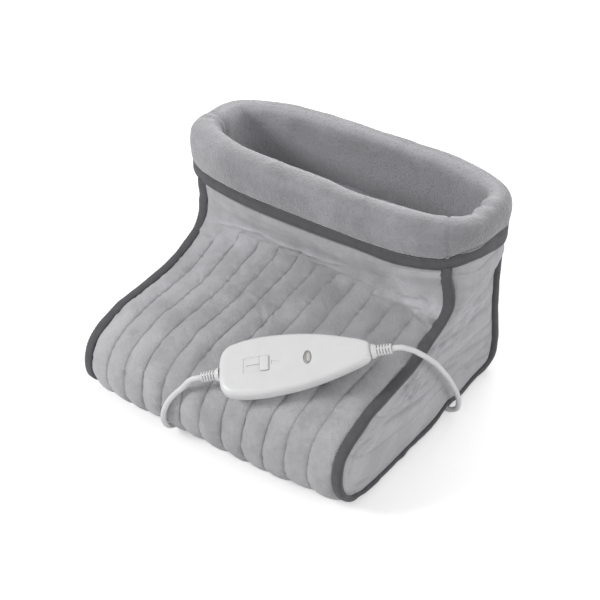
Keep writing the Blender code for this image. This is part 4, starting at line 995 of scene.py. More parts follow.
def back_puff(side, v):
    """How far the back quilt stands off its crown."""
    x, s = side * seam_half_width, v * back_length
    wander = ripple(12, x / 0.040, s / 0.050) * 0.07 * (1 - side**6)
    place = np.clip((side + 1) / 2 * channel_count + wander, 0, channel_count)
    half = seam_half_width / channel_count
    inside = half * (1 - 2 * np.abs(place - np.clip(np.floor(place), 0, channel_count - 1) - 0.5))
    puff = channel_puff * puff_share(inside / half) * eased(v / 0.10)
    puff = puff * (0.45 + 0.55 * eased((1 - v) / 0.06))
    pucker = ripple(7, place * 2.0, s / 0.0042 + place) * 0.0008
    slack = ripple(9, x / 0.013 + s / 0.03, s / 0.019) * 0.0007
    ends = eased(v / 0.05) * eased((1 - v) / 0.05)
    return puff + (pucker * np.exp(-inside / 0.0042) + slack) * ends, inside


def collar_share(x, y):
    """Where a point lies round the collar, from +X at 0 through the heel at 0.25."""
    return np.arctan2((y - collar_y) / collar_half_depth, x / collar_half_length) / (2 * math.pi) % 1


# The collar's tape, at shares of the way round: how far its two edges lie above the seam
COLLAR_TAPE = [
    (0.000, 0.0044, 0.0245), (0.020, 0.0028, 0.0240), (0.045, 0.0010, 0.0215), (0.080, 0.0028, 0.0178),
    (0.600, 0.0036, 0.0178), (0.660, 0.0042, 0.0190), (0.690, 0.0034, 0.0180), (0.750, 0.0030, 0.0172),
    (0.800, 0.0034, 0.0164), (0.815, 0.0026, 0.0156), (0.828, 0.0008, 0.0152), (0.842, -0.0002, 0.0143),
    (0.866, 0.0012, 0.0154), (0.881, 0.0022, 0.0158), (0.891, 0.0044, 0.0184), (0.902, 0.0060, 0.0216),
    (0.914, 0.0082, 0.0234), (0.930, 0.0090, 0.0242), (0.955, 0.0090, 0.0250), (0.975, 0.0074, 0.0252),
    (0.990, 0.0058, 0.0250), (1.000, 0.0044, 0.0245),
]


def collar_lift(share, edge=1):
    """How far the tape's lower edge (1) or upper edge (2) lies above the boot's seam."""
    columns = np.array(COLLAR_TAPE).T
    return np.interp(share, columns[0], columns[edge])


TUCK_ROWS = 4
TUCK_REACH = 0.005


def tucked(points):
    """Carries a panel's top edge on up behind the collar's tape."""
    rim = points[-1]
    up = np.array((0, 0, 1)) * (collar_lift(collar_share(rim[:, 0], rim[:, 1])) + TUCK_REACH)[:, None]
    return np.concatenate([points, [rim + up * share for share in even(TUCK_ROWS)[1:]]])


def stretched(values):
    """The painted numbers, with zeros for the rows that tucked() adds."""
    return np.concatenate([values, np.repeat(values[-1:] * 0, TUCK_ROWS, axis=0)])


def stitches(name, runs, pitch, material, slot):
    """Sewing threads: short raised dashes along runs of (points, normals)."""
    verts, faces = [], []
    length, width, height = pitch * 0.68, 0.00032, 0.00030
    rings = [(-0.5, 0.15, -0.3), (-0.3, 0.9, 0.75), (0, 1.0, 1.0), (0.3, 0.9, 0.75), (0.5, 0.15, -0.3)]
    for points, normals in runs:
        at = lengths_along(points)
        for middle in np.arange(pitch, at[-1] - pitch / 2, pitch):
            point = between(middle, at, points)
            normal = between(middle, at, normals)
            normal /= np.linalg.norm(normal)
            run = between(middle + pitch / 4, at, points) - point
            run /= np.linalg.norm(run)
            across = np.cross(normal, run)
            first = len(verts)
            for along, wide, high in rings:
                centre = point + run * along * length
                top = centre + normal * height * high
                low = centre - normal * height
                verts += [centre + across * width * wide, top, centre - across * width * wide, low]
            for ring in range(len(rings) - 1):
                for k in range(4):
                    a, b = first + ring * 4 + k, first + ring * 4 + (k + 1) % 4
                    faces.append((a, b, b + 4, a + 4))
            last = len(verts) - 4
            faces += [(first + 3, first + 2, first + 1, first), (last, last + 1, last + 2, last + 3)]
    declare(make_mesh(name, np.array(verts), np.array(faces), material), slot)


def joined(name, pieces, material):
    """Several pieces as one object."""
    bm = bmesh.new()
    for piece in pieces:
        bm.from_mesh(piece.data)
        bpy.data.objects.remove(piece, do_unlink=True)
    return finished(name, bm, material)


def revolved(name, profile, material, matrix=None):
    """A closed solid: a profile of (radius, height) turned round Z."""
    sides = 64
    bm = bmesh.new()
    rings = []
    for radius, height in profile:
        ring = []
        for k in range(sides if radius > 1e-7 else 1):
            angle = 2 * math.pi * k / sides
            ring.append(bm.verts.new((radius * math.cos(angle), radius * math.sin(angle), height)))
        rings.append(ring)
    for low, high in zip(rings, rings[1:]):
        for k in range(sides):
            a, b = low[k % len(low)], low[(k + 1) % len(low)]
            c, d = high[(k + 1) % len(high)], high[k % len(high)]
            corners = list(dict.fromkeys((a, b, c, d)))
            if len(corners) > 2:
                bm.faces.new(corners)
    bmesh.ops.recalc_face_normals(bm, faces=bm.faces)
    return finished(name, bm, material, matrix)


# The control as it is seen: its shell, the openings in it and the shutter plate below the slot
shell_thickness = 0.0018
shell_corner = 0.012
recess_look = 0.0005
stem_look = 0.0014
plate_look = 0.0042
plate_thickness = 0.0006
above_shell = control_height + 0.01
plate_reach = switch_travel + stem_look + 0.002
slot_look = 0.0005
mark_start = 0.0064
mark_end = 0.0150
mark_half_width = 0.0022
mark_sink = 0.0004
window_clear = 0.00025
POCKET_PLACES = ((-0.060, 0.012), (-0.060, -0.012), (0.050, 0))
pocket_radius = 0.0032
pocket_top = 0.0042
CONTROL_TOP_EDGE = [
    (0, 0), (0.10, 0), (0.40, 0.008), (0.66, 0.026), (0.84, 0.062), (0.95, 0.110), (1, 0.185),
]
# The collar of a strain relief: radius and distance from the control
RELIEF_CONE = [
    (0, -0.002), (0.0036, -0.002), (0.0036, 0), (0.0072, 0), (0.0070, 0.0012), (0.0052, 0.0046),
    (0, 0.0046),
]
RELIEF_FINS = 5


def control_outline(count):
    """The control's closed outline, seen from above, in points at even distances."""
    half = [(x * control_length, y * control_half_width) for x, y in CONTROL_SHARES]
    upper = smooth_path(half, 600)
    lower = upper[::-1] * np.array([1, -1])
    return spaced(np.vstack([upper, lower[1:]]), count + 1)[:-1]


def control_top(x):
    """How high the control's top lies at x."""
    return parting_z + (control_height - parting_z) * control_thin(x)


def control_half(name, shares, height):
    """One half of the control as a shell, open at the parting plane."""
    outline = control_outline(260)
    edge = smooth_path(shares, 26)
    last = edge[-1]
    turns = np.linspace(0.06, 1, 16)
    ups = last[0] + shell_corner * np.sin(turns * math.pi / 2)
    crown = np.stack([ups, last[1] + (1 - last[1]) * turns], axis=1)
    rings = np.vstack([(0.0, 0.010), (shell_corner, 0.001), edge[2:], crown])
    x = outline[None, :, 0] * (1 - 2 * rings[:, 1:] * control_half_width / control_length)
    y = outline[None, :, 1] * (1 - rings[:, 1:])
    z = parting_z + np.sign(height) * gap / 2 + rings[:, :1] * height * control_thin(x)
    obj = grid_mesh(name, np.stack([x, y, z], axis=-1), white_plastic, closed=True, flip=height > 0)
    weld(obj, 0.00002, parting_z)
    return thicken(obj, shell_thickness)


def oval_cylinder(name, half_length, half_width, low, high, material, x, dome=0.0):
    """An upright oval piece with a domed top."""
    profile = [(0, low), (1, low), (1, high - dome)]
    profile += [(math.cos(t), high - dome + dome * math.sin(t)) for t in np.linspace(0.15, math.pi / 2, 12)]
    profile[-1] = (0, high)
    obj = revolved(name, profile, material)
    for vert in obj.data.vertices:
        vert.co.x = x + vert.co.x * half_length
        vert.co.y *= half_width
    sharpen(obj.data, 40)
    return obj


def wedge(name, first, last, half_width, low, high):
    """An upright prism over a triangle that points from the first x to the last."""
    bm = bmesh.new()
    plan = ((first, -half_width), (last, 0), (first, half_width))
    verts = [bm.verts.new((x, y, z)) for z in (low, high) for x, y in plan]
    for corners in ((0, 1, 2), (3, 4, 5), (0, 1, 4, 3), (1, 2, 5, 4), (2, 0, 3, 5)):
        bm.faces.new([verts[k] for k in corners])
    bmesh.ops.recalc_face_normals(bm, faces=bm.faces)
    return finished(name, bm, white_plastic)


def make_shells():
    """The control's two shells: recess, slot, mark and window above, three screw pockets below."""
    top = control_half("control_top", CONTROL_TOP_EDGE, control_height - parting_z)
    bottom = control_half("control_bottom", BOTTOM_SHELL_SHARES, -parting_z)
    far_x = knob_rest_x - switch_travel
    floor = control_height - recess_look
    cutters = []
    for name, reach, half_width, low, high, edge in (
        ("recess", knob_length / 2 + recess_margin, recess_half_width, floor, above_shell, 0.0006),
        ("slot", stem_look + 0.0003, slot_look, parting_z, control_height + 0.002, 0),
        ("hollow", plate_reach + 0.0004, plate_look + 0.0008, parting_z, floor - 0.0007, 0),
    ):
        corners = (far_x - reach, -half_width, low), (knob_rest_x + reach, half_width, high)
        cutters.append(box(name, *corners, white_plastic, edge))
    first, last = knob_rest_x + mark_start, knob_rest_x + mark_end
    cutters.append(wedge("mark", first, last, mark_half_width, control_top(first) - mark_sink, above_shell))
    size = lens_half_length + window_clear, lens_half_width + window_clear
    cutters.append(oval_cylinder("window", *size, parting_z, above_shell, white_plastic, lens_x))
    cut(top, cutters)
    for x, y in POCKET_PLACES:
        pocket = cylinder("pocket", pocket_radius, -0.01, pocket_top, white_plastic)
        pocket.data.transform(Matrix.Translation((x, y, 0)))
        cut(bottom, [pocket])
    for obj, node in ((top, "control_top_shell"), (bottom, "control_bottom_shell")):
        obj.data.transform(hub)
        sharpen(obj.data, 38)
        declare(obj, "white_plastic", node)


def make_switch():
    """The sliding knob with a shutter that hides the slot, and the switch's lever."""

    def block(name, reach, half_width, low, high, edge, segments):
        corners = (knob_rest_x - reach, -half_width, low), (knob_rest_x + reach, half_width, high)
        return box(name, *corners, white_plastic, edge, segments)

    floor = control_height - recess_look
    plate_top = floor - 0.0008
    pieces = [
        block("body", knob_length / 2, knob_half_width, floor + 0.0001, recess_z + gap + knob_height, 0.0013, 5),
        block("stem", stem_look, slot_look - 0.0001, 0.0148, floor + 0.0011, 0.0002, 1),
        block("plate", plate_reach, plate_look, plate_top - plate_thickness, plate_top, 0.0002, 2),
    ]
    knob = joined("slide_knob", pieces, white_plastic)
    lever = block("slide_lever", 0.0030, 0.0022, 0.0094, 0.0144, 0.0004, 3)
    for obj, node in ((knob, "switch_knob"), (lever, "switch_lever")):
        obj.data.transform(hub)
        declare(obj, "white_plastic", node, body="switch")


def make_lens():
    """The lamp's lens and the pale bar in it, a painted highlight."""
    top = control_height - lens_sink
    lens = oval_cylinder(
        "lamp_lens", lens_half_length, lens_half_width, top - lens_thickness, top + 0.0005,
        lens_plastic, lens_x, 0.0009,
    )
    lens.data.transform(hub)
    declare(lens, "lens_plastic", "indicator_lens")
    # painted highlight: a pale bar on the lens
    bar = oval_cylinder(
        "lens_highlight_bar", 0.0020, 0.0046, top - 0.0004, top + 0.0009, lens_highlight_bar, lens_x + 0.0010, 0.0008
    )
    bar.data.transform(hub)
    declare(bar, "lens_plastic")


def make_relief(name, side, node):
    """A strain relief: a collar at the control, then thin fins on a spine."""
    pieces = [revolved("cone", RELIEF_CONE, white_plastic)]
    cone_end = RELIEF_CONE[-2][1]
    pitch = (relief_length - cone_end) / RELIEF_FINS
    edge, fin_thickness = 0.0003, 0.0015
    for fin in range(RELIEF_FINS):
        high = relief_length - fin * pitch
        low = high - fin_thickness
        radius = 0.0050 + 0.00012 * fin
        disc = [(0, low), (radius - edge, low), (radius, low + edge)]
        disc += [(radius, high - edge), (radius - edge, high), (0, high)]
        pieces.append(revolved("fin", disc, white_plastic))
    low, high = cone_end - 0.001, relief_length - 0.0002
    pieces.append(revolved("core", [(0, low), (0.0034, low), (0.0031, high), (0, high)], white_plastic))
    for wide, tall in ((0.0011, 0.0045), (0.0045, 0.0011)):
        corners = (-wide, -tall, low), (wide, tall, high - 0.0002)
        pieces.append(box("web", *corners, white_plastic, edge, 2))
    whole = joined(name, pieces, white_plastic)
    place = Matrix.Translation((side * (control_length / 2 + gap), 0, parting_z))
    whole.data.transform(hub @ place @ Matrix.Rotation(side * math.pi / 2, 4, "Y"))
    declare(whole, "white_plastic", node)


def front_nap_and_shade(x, s, inside):
    """Where the front quilt's colour turns darker (to -1) or lighter (to 1): random patches, painted highlight
    on fold ridges and painted shade in creases, darker towards the finger tips and in the band, lighter at the
    right ankle corner, and lighter to the left as painted light.
    """
    patches = 0.45 * ripple(61, x / 0.022, s / 0.034) + 0.30 * ripple(62, x / 0.009, s / 0.013)
    # painted light: fold ridges lighter and creases darker
    patches = patches + strokes_field(x, s, FRONT_FOLDS) / 0.0035
    tips = eased((s - 0.175) / 0.075) * eased((0.300 - s) / 0.012)
    tips = tips * (0.20 + 0.80 * eased((x + 0.090) / 0.120))
    band = eased(-inside / 0.004)
    corner = eased((x - 0.085) / 0.03) * eased((s - 0.262) / 0.014)
    # painted light: the left of the quilt lighter, as if lit from the left
    lit = 0.60 * eased((-0.035 - x) / 0.09)
    return np.clip(patches - 0.75 * tips * (1 - band) + 0.85 * corner * band - 0.15 * band + lit, -1, 1)


def sew_channels(name, points, inside, steps, tops):
    """Stitches in the valleys between a quilt's channels, each up to its own top row."""
    runs = []
    for number, top in enumerate(tops, 1):
        near = slice(number * steps - 5, number * steps + 6)
        valley = np.abs(inside[:top, near]).argmin(axis=1) + near.start
        rows = np.arange(top)
        line = points[rows, valley]
        across = points[rows, valley + 3] - points[rows, valley - 3]
        runs.append((line, np.cross(across, np.gradient(line, axis=0))))
    stitches(name, runs, stitch_pitch, thread, "fabric")


def make_front():
    """The front quilt: fingers up to the ankle, the loose band above them, and its seams."""
    found = {}

    def rise(side, v):
        puff, found["inside"], found["closing"] = front_puff(side, v)
        return front_crown(side, v) + puff

    rows, steps = 270, 16
    u, v = grid(even(rows - 1), channel_columns(channel_count, steps))
    u = u + slant(2 * u - 1, v * front_length) / 2
    points = wrap(marks[TOE_SEAM] - seam_slack, 0, rise, seam_tuck)(u, v)
    seams = np.exp(-((found["inside"] / valley_width) ** 2))
    quilt = grid_mesh("front_quilt", tucked(points), quilt_cloth)
    toe = (1 - eased((v * front_length - 0.010) / 0.050)) * eased((0.15 - u) / 0.45 + 0.6)
    # painted shade along the seams, made fainter near the toe's bottom and where the fingers close
    paint(quilt, "seam", stretched(seams * (1 - 0.65 * toe) * (1 - 0.8 * found["closing"])))
    nap_and_shade = front_nap_and_shade((2 * u - 1) * front_half_width, v * front_length, found["inside"])
    paint(quilt, "nap_and_shade", stretched(nap_and_shade))
    thicken(quilt, quilt_thickness)
    declare(quilt, "fabric", "front_panel", fill=0.6)
    ends = [min(pair) for pair in zip(FINGER_ENDS, FINGER_ENDS[1:])]
    tops = [int(end / front_length * (rows - 1)) - 2 for end in ends]
    sew_channels("front_seams", points, found["inside"], steps, tops)


def make_back():
    """The back quilt, with straight channels."""
    found = {}

    def rise(side, v):
        puff, found["inside"] = back_puff(side, v)
        return back_crown(side, v) + puff

    rows, steps = 170, 14
    u, v = grid(even(rows - 1), channel_columns(channel_count, steps))
    points = wrap(1, marks[HEEL_SEAM] + seam_slack, rise, seam_tuck)(u, v)
    # painted shade along the seams between the channels
    seams = np.exp(-((found["inside"] / valley_width) ** 2))
    patches = ripple(64, (u - 0.5) / 0.07, v / 0.18) * 0.6
    quilt = grid_mesh("back_quilt", tucked(points[::-1])[::-1], quilt_cloth)
    for name, values in (("seam", seams), ("nap_and_shade", patches)):
        paint(quilt, name, stretched(values[::-1])[::-1])
    thicken(quilt, quilt_thickness)
    declare(quilt, "fabric", "back_panel", fill=0.6)
    sew_channels("back_seams", points, found["inside"], steps, [rows] * (channel_count - 1))


def side_puff_field(side):
    """The faint rows of a side quilt, with its folds."""

    def puff(u, v):
        off = np.abs(v * side_channel_count - np.floor(v * side_channel_count) - 0.5) * 2
        y, z = u * seam_depth, v * seam_height
        rows = side_puff * puff_share(1 - off)
        soft = ripple(11 + side, y / 0.030, z / 0.018) * 0.0012
        fine = ripple(17 + side, y / 0.016, z / 0.012) * 0.0004
        pucker = ripple(19, y / 0.0045, np.round(v * side_channel_count) * 3.3) * 0.0003
        pucker = pucker * np.exp(-(1 - off) * 5)
        folds = 1.5 * strokes_field(y, z, SIDE_FOLDS)
        rim = eased(u / 0.04) * eased((1 - u) / 0.05) * eased(v / 0.03) * eased((1 - v) / 0.08)
        return (rows + soft + fine + pucker + folds) * rim

    return puff


def make_sides():
    """The two side quilts with their rows, folds and nap."""
    for side, word in ((1, "right"), (-1, "left")):
        u, v = grid(np.linspace(0, 1, 150), np.linspace(0, 1, 230))
        points = side_surface(side, seam_tuck, side_puff_field(side))(u, v)
        row = v * side_channel_count
        rows = np.abs(row - np.round(row)) * seam_height / side_channel_count
        inner = (v > 0.02) & (v < 0.98)
        quilt = grid_mesh("side_quilt_" + word, tucked(points), side_cloth, flip=side < 0)
        # painted shade along the rows of the side quilt
        paint(quilt, "seam", stretched(0.55 * np.exp(-((rows / 0.0014) ** 2)) * inner))
        patches = ripple(66 + side, u / 0.09, v / 0.12) * 0.45
        patches = patches + ripple(68 + side, u / 0.035, v / 0.05) * 0.30
        # painted light: fold ridges lighter and creases darker, on top of random patches
        patches = 0.6 * patches + strokes_field(u * seam_depth, v * seam_height, SIDE_FOLDS) / 0.0028
        paint(quilt, "nap_and_shade", stretched(np.clip(patches, -1, 1)))
        thicken(quilt, side_thickness)
        declare(quilt, "fabric", "side_panel_" + word, fill=0.5)


def make_lining():
    """The plush inside the boot: front, back and both sides."""
    top = top_drop / seam_length
    u, v = grid(np.linspace(0.17, 1, 90), even(60))
    front = wrap(marks[TOE_SEAM] - seam_slack, top, front_crown, side_lining_depth)(u, v)
    u, v = grid(np.linspace(0, 0.90, 90), even(60))
    back = wrap(1 - top, marks[HEEL_SEAM] + seam_slack, back_crown, side_lining_depth)(u, v)
    u, v = grid(even(60), even(70))
    right, left = (side_surface(side, lining_corner, lambda u, v: 0 * u)(u, v) for side in (1, -1))
    for word, points, depth in (
        ("front", front, lining_depth), ("back", back, lining_depth),
        ("right", right, side_lining_depth), ("left", left, side_lining_depth),
    ):
        obj = grid_mesh("plush_lining_" + word, points, lining_plush, flip=word == "left")
        thicken(obj, lining_thickness, depth)
        declare(obj, "plush", "lining_" + word, fill=0.4)


def pad_mesh(name, top, bottom, material):
    """A closed pad between two grids of points."""
    rows, columns = top.shape[:2]
    count = rows * columns
    index = np.arange(count).reshape(rows, columns)
    flat = quads(index)
    rim = np.concatenate([index[0, :-1], index[:-1, -1], index[-1, :0:-1], index[:0:-1, 0]])
    after = np.roll(rim, -1)
    walls = np.stack([rim, rim + count, after + count, after], axis=-1)
    points = np.concatenate([top.reshape(-1, 3), bottom.reshape(-1, 3)])
    return make_mesh(name, points, np.concatenate([flat, flat[:, ::-1] + count, walls]), material, 60)


def node_floor(node, u, v):
    """The box of a model node, and the x and y of these shares of it."""
    low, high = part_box(node)
    return low, high, low.x + u * (high.x - low.x), low.y + v * (high.y - low.y)


def make_pads():
    """The wadding under the heater with a pocket for the splice, and the felt below the wire."""
    u, v = grid(even(96), even(110))
    low, high, x, y = node_floor("sole_wadding", u, v)
    rim = np.minimum(np.minimum(u, 1 - u) * (high.x - low.x), np.minimum(v, 1 - v) * (high.y - low.y))
    round_off = (1 - eased(rim / 0.004)) ** 2
    top = high.z - 0.0003 - 0.0022 * round_off + ripple(81, x / 0.012, y / 0.012) * 0.0003
    under = low.z + lift_over_cord(x - mains_cord_x, 0, sole_lift + 2 * gap) + 0.0012 * round_off
    under = np.minimum(under, top - 0.0008)
    pad = pad_mesh("wadding_pad", np.stack([x, y, top], axis=-1), np.stack([x, y, under], axis=-1), wadding)
    low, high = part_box("lead_splice")
    room = 0.0004
    cut(pad, [box("pocket", (low.x - room, low.y - room, 0), (0.2, high.y + room, 0.03), wadding)])
    declare(pad, "wadding", "sole_wadding", fill=0.6)
    low, high, x, y = node_floor("heating_carrier", u, v)
    wave = ripple(83, x / 0.015, y / 0.015) * 0.00008
    top = np.stack([x, y, high.z - 0.0001 + wave], axis=-1)
    under = np.stack([x, y, low.z + 0.0001 + wave], axis=-1)
    declare(pad_mesh("heater_felt", top, under, felt), "felt", "heating_carrier", fill=0.1)


# The tie's section: across the strap and out from the coil
TIE_SECTION = [
    (-0.0045, 0.0003), (-0.0041, 0.0010), (0.0041, 0.0010), (0.0045, 0.0003), (0.0041, 0.0), (-0.0041, 0.0),
]
# The plug: distance from the cord's end, half width and half height
PLUG_SECTIONS = [
    (0.000, 0.0042, 0.0038), (0.003, 0.0050, 0.0044), (0.008, 0.0086, 0.0056), (0.013, 0.0118, 0.0066),
    (0.018, 0.0130, 0.0070), (0.030, 0.0130, 0.0070), (0.0345, 0.0126, 0.0066), (0.036, 0.0110, 0.0052),
]


def capped(rows, before=(), after=()):
    """A tube's rings, with each end drawn together into one point."""
    rings = [*before, *rows, *after]
    first, last = (0 * ring + ring.mean(axis=0) for ring in (rings[0], rings[-1]))
    return np.stack([first, *rings, last])


def make_plug():
    """The moulded plug with grip ribs, and its two pins."""
    along = np.linspace(0, plug_length, 110)
    places, *widths = np.array(PLUG_SECTIONS).T
    wide, tall = (np.interp(along, places, width) for width in widths)
    for values in (wide, tall):
        values[2:-2] = np.convolve(values, np.ones(5) / 5, "same")[2:-2]
    ribs = np.sin((along - 0.010) / 0.0028 * 2 * math.pi)
    ribs = ribs * eased((along - 0.010) / 0.002) * eased((0.024 - along) / 0.002)
    wide = wide - 0.00035 * (1 - ribs) * eased((along - 0.009) / 0.002) * eased((0.025 - along) / 0.002)
    y, z = squarish(np.linspace(0, 2 * math.pi, 73)[:-1], 0.62)
    y, z = plug_y + wide[:, None] * y, plug_z + tall[:, None] * z
    points = np.stack([plug_x + along[:, None] + 0 * y, y, z], axis=-1)
    body = grid_mesh("plug_moulding", capped(points), cord_plastic, closed=True)
    weld(body, 0.000001)
    pieces = [body]
    shaft = [(0, -0.0080), (0.0020, -0.0080), (0.0020, 0.0172), (0.0018, 0.0182)]
    shaft += [(0.0011, 0.0189), (0, 0.0190)]
    for number, side in ((1, -1), (2, 1)):
        place = Matrix.Translation((plug_x + plug_length, plug_y + side * pin_spacing / 2, plug_z))
        place = place @ Matrix.Rotation(math.pi / 2, 4, "Y")
        bore = [(0, -0.0083), (0.0023, -0.0083), (0.0023, 0.005), (0, 0.005)]
        cut(body, [revolved("seat", bore, cord_plastic, place)])
        pin = revolved(f"plug_prong_{number}", shaft, brass, place)
        pieces.append(declare(pin, "brass", f"plug_pin_{number}"))
    declare(body, "cord_plastic", "plug_body")
    return [*pieces, make_tie()]


def make_tie():
    """The flat strap round one side of the coil."""
    inner = coil_radius - 4 * coil_pitch - cord_radius
    outer = coil_radius + coil_pitch / 2 + cord_radius
    high = coil_low_z + coil_pitch + cord_radius + gap
    low = coil_low_z - cord_radius - gap
    corner = tie_corner
    loop = []
    for x, z, start in (
        (outer - corner, high - corner, 0), (inner + corner, high - corner, 90),
        (inner + corner, low + corner, 180), (outer - corner, low + corner, 270),
    ):
        for angle in np.radians(np.linspace(start, start + 90, 12)):
            loop.append((x + corner * math.cos(angle), z + corner * math.sin(angle)))
    loop = spaced(np.array(loop + loop[:1]), 241)[:-1]
    normals = plane_normals(np.roll(loop, -1, axis=0) - np.roll(loop, 1, axis=0))
    strap = []
    for across, out in (*TIE_SECTION, TIE_SECTION[0]):
        x, z = (loop + out * normals).T
        strap.append(np.stack([x, across + 0 * x, z], axis=-1))
    tie = grid_mesh("coil_tie", np.array(strap), black_plastic, closed=True)
    weld(tie, 0.000001)
    sharpen(tie.data, 40)
    tie.data.transform(Matrix.Translation((coil_x, coil_y, 0)) @ Matrix.Rotation(tie_yaw, 4, "Z"))
    return declare(tie, "black_plastic", "cord_tie")


def make_sole():
    """The sole's cloth, which laps over the quilts at its two ends."""
    lap = 2 * seam_slack
    u, v = grid(np.linspace(0, 1, 150), even(120))
    points = wrap(marks[HEEL_SEAM] + lap, marks[TOE_SEAM] - lap, sole_rise, seam_tuck)(u, v)
    sole = grid_mesh("sole_cloth", points, sole_cloth)
    thicken(sole, sole_thickness)
    declare(sole, "sole_cloth", "sole_panel", fill=0.2)


def ring_points(section, base_z, count, shape=None):
    """A closed ring: a section of (outwards, up) carried round the collar's oval."""
    path = oval_path(count)
    normals = plane_normals(np.gradient(np.vstack([path[-2], path, path[1]]), axis=0)[1:-1])
    path, normals = path[:-1], normals[:-1]
    out, up = section[:, :1] + 0 * path[:, 0], section[:, 1:] + 0 * path[:, 0]
    if shape:
        out, up = shape(out, up, path, normals)
    x, y = path[:, 0] + out * normals[:, 0], path[:, 1] + out * normals[:, 1]
    return np.stack([x, y, base_z + collar_rise(y) + up], axis=-1)


COLLAR_SECTION_SHARES = [
    (0.86, -0.03), (0.94, 0.10), (1.0, 0.34), (0.97, 0.62), (0.80, 0.85), (0.45, 0.97), (0.0, 1.0),
    (-0.45, 0.97), (-0.80, 0.86), (-0.97, 0.66), (-1.0, 0.34), (-0.97, 0.0),
]

RING_COUNT = 600
COLLAR_ROUND = lengths_along(oval_path(400))[-1]
# Where the cover is pinched over the rim, and where it is sewn, in shares of the way round
COLLAR_CREASES = [
    (0.5095, 0.0036, 0.0040), (0.0030, 0.0026, 0.0048), (0.5290, 0.0014, 0.0050),
    (0.9800, 0.0014, 0.006),
]
COLLAR_SEAM = 0.9300
# Where the roll is fuller: share of the way round, how much taller, how much further in
COLLAR_FULLNESS = [
    (0.00, 0.0000, 0.0000), (0.40, 0.0000, 0.0000), (0.43, 0.0018, 0.0010), (0.46, 0.0036, 0.0025),
    (0.50, 0.0048, 0.0045), (0.54, 0.0056, 0.0060), (0.58, 0.0062, 0.0078), (0.63, 0.0060, 0.0080),
    (0.69, 0.0052, 0.0075), (0.75, 0.0042, 0.0060), (0.81, 0.0030, 0.0044), (0.87, 0.0020, 0.0028),
    (0.92, 0.0010, 0.0012), (0.96, 0.0000, 0.0000), (1.00, 0.0000, 0.0000),
]


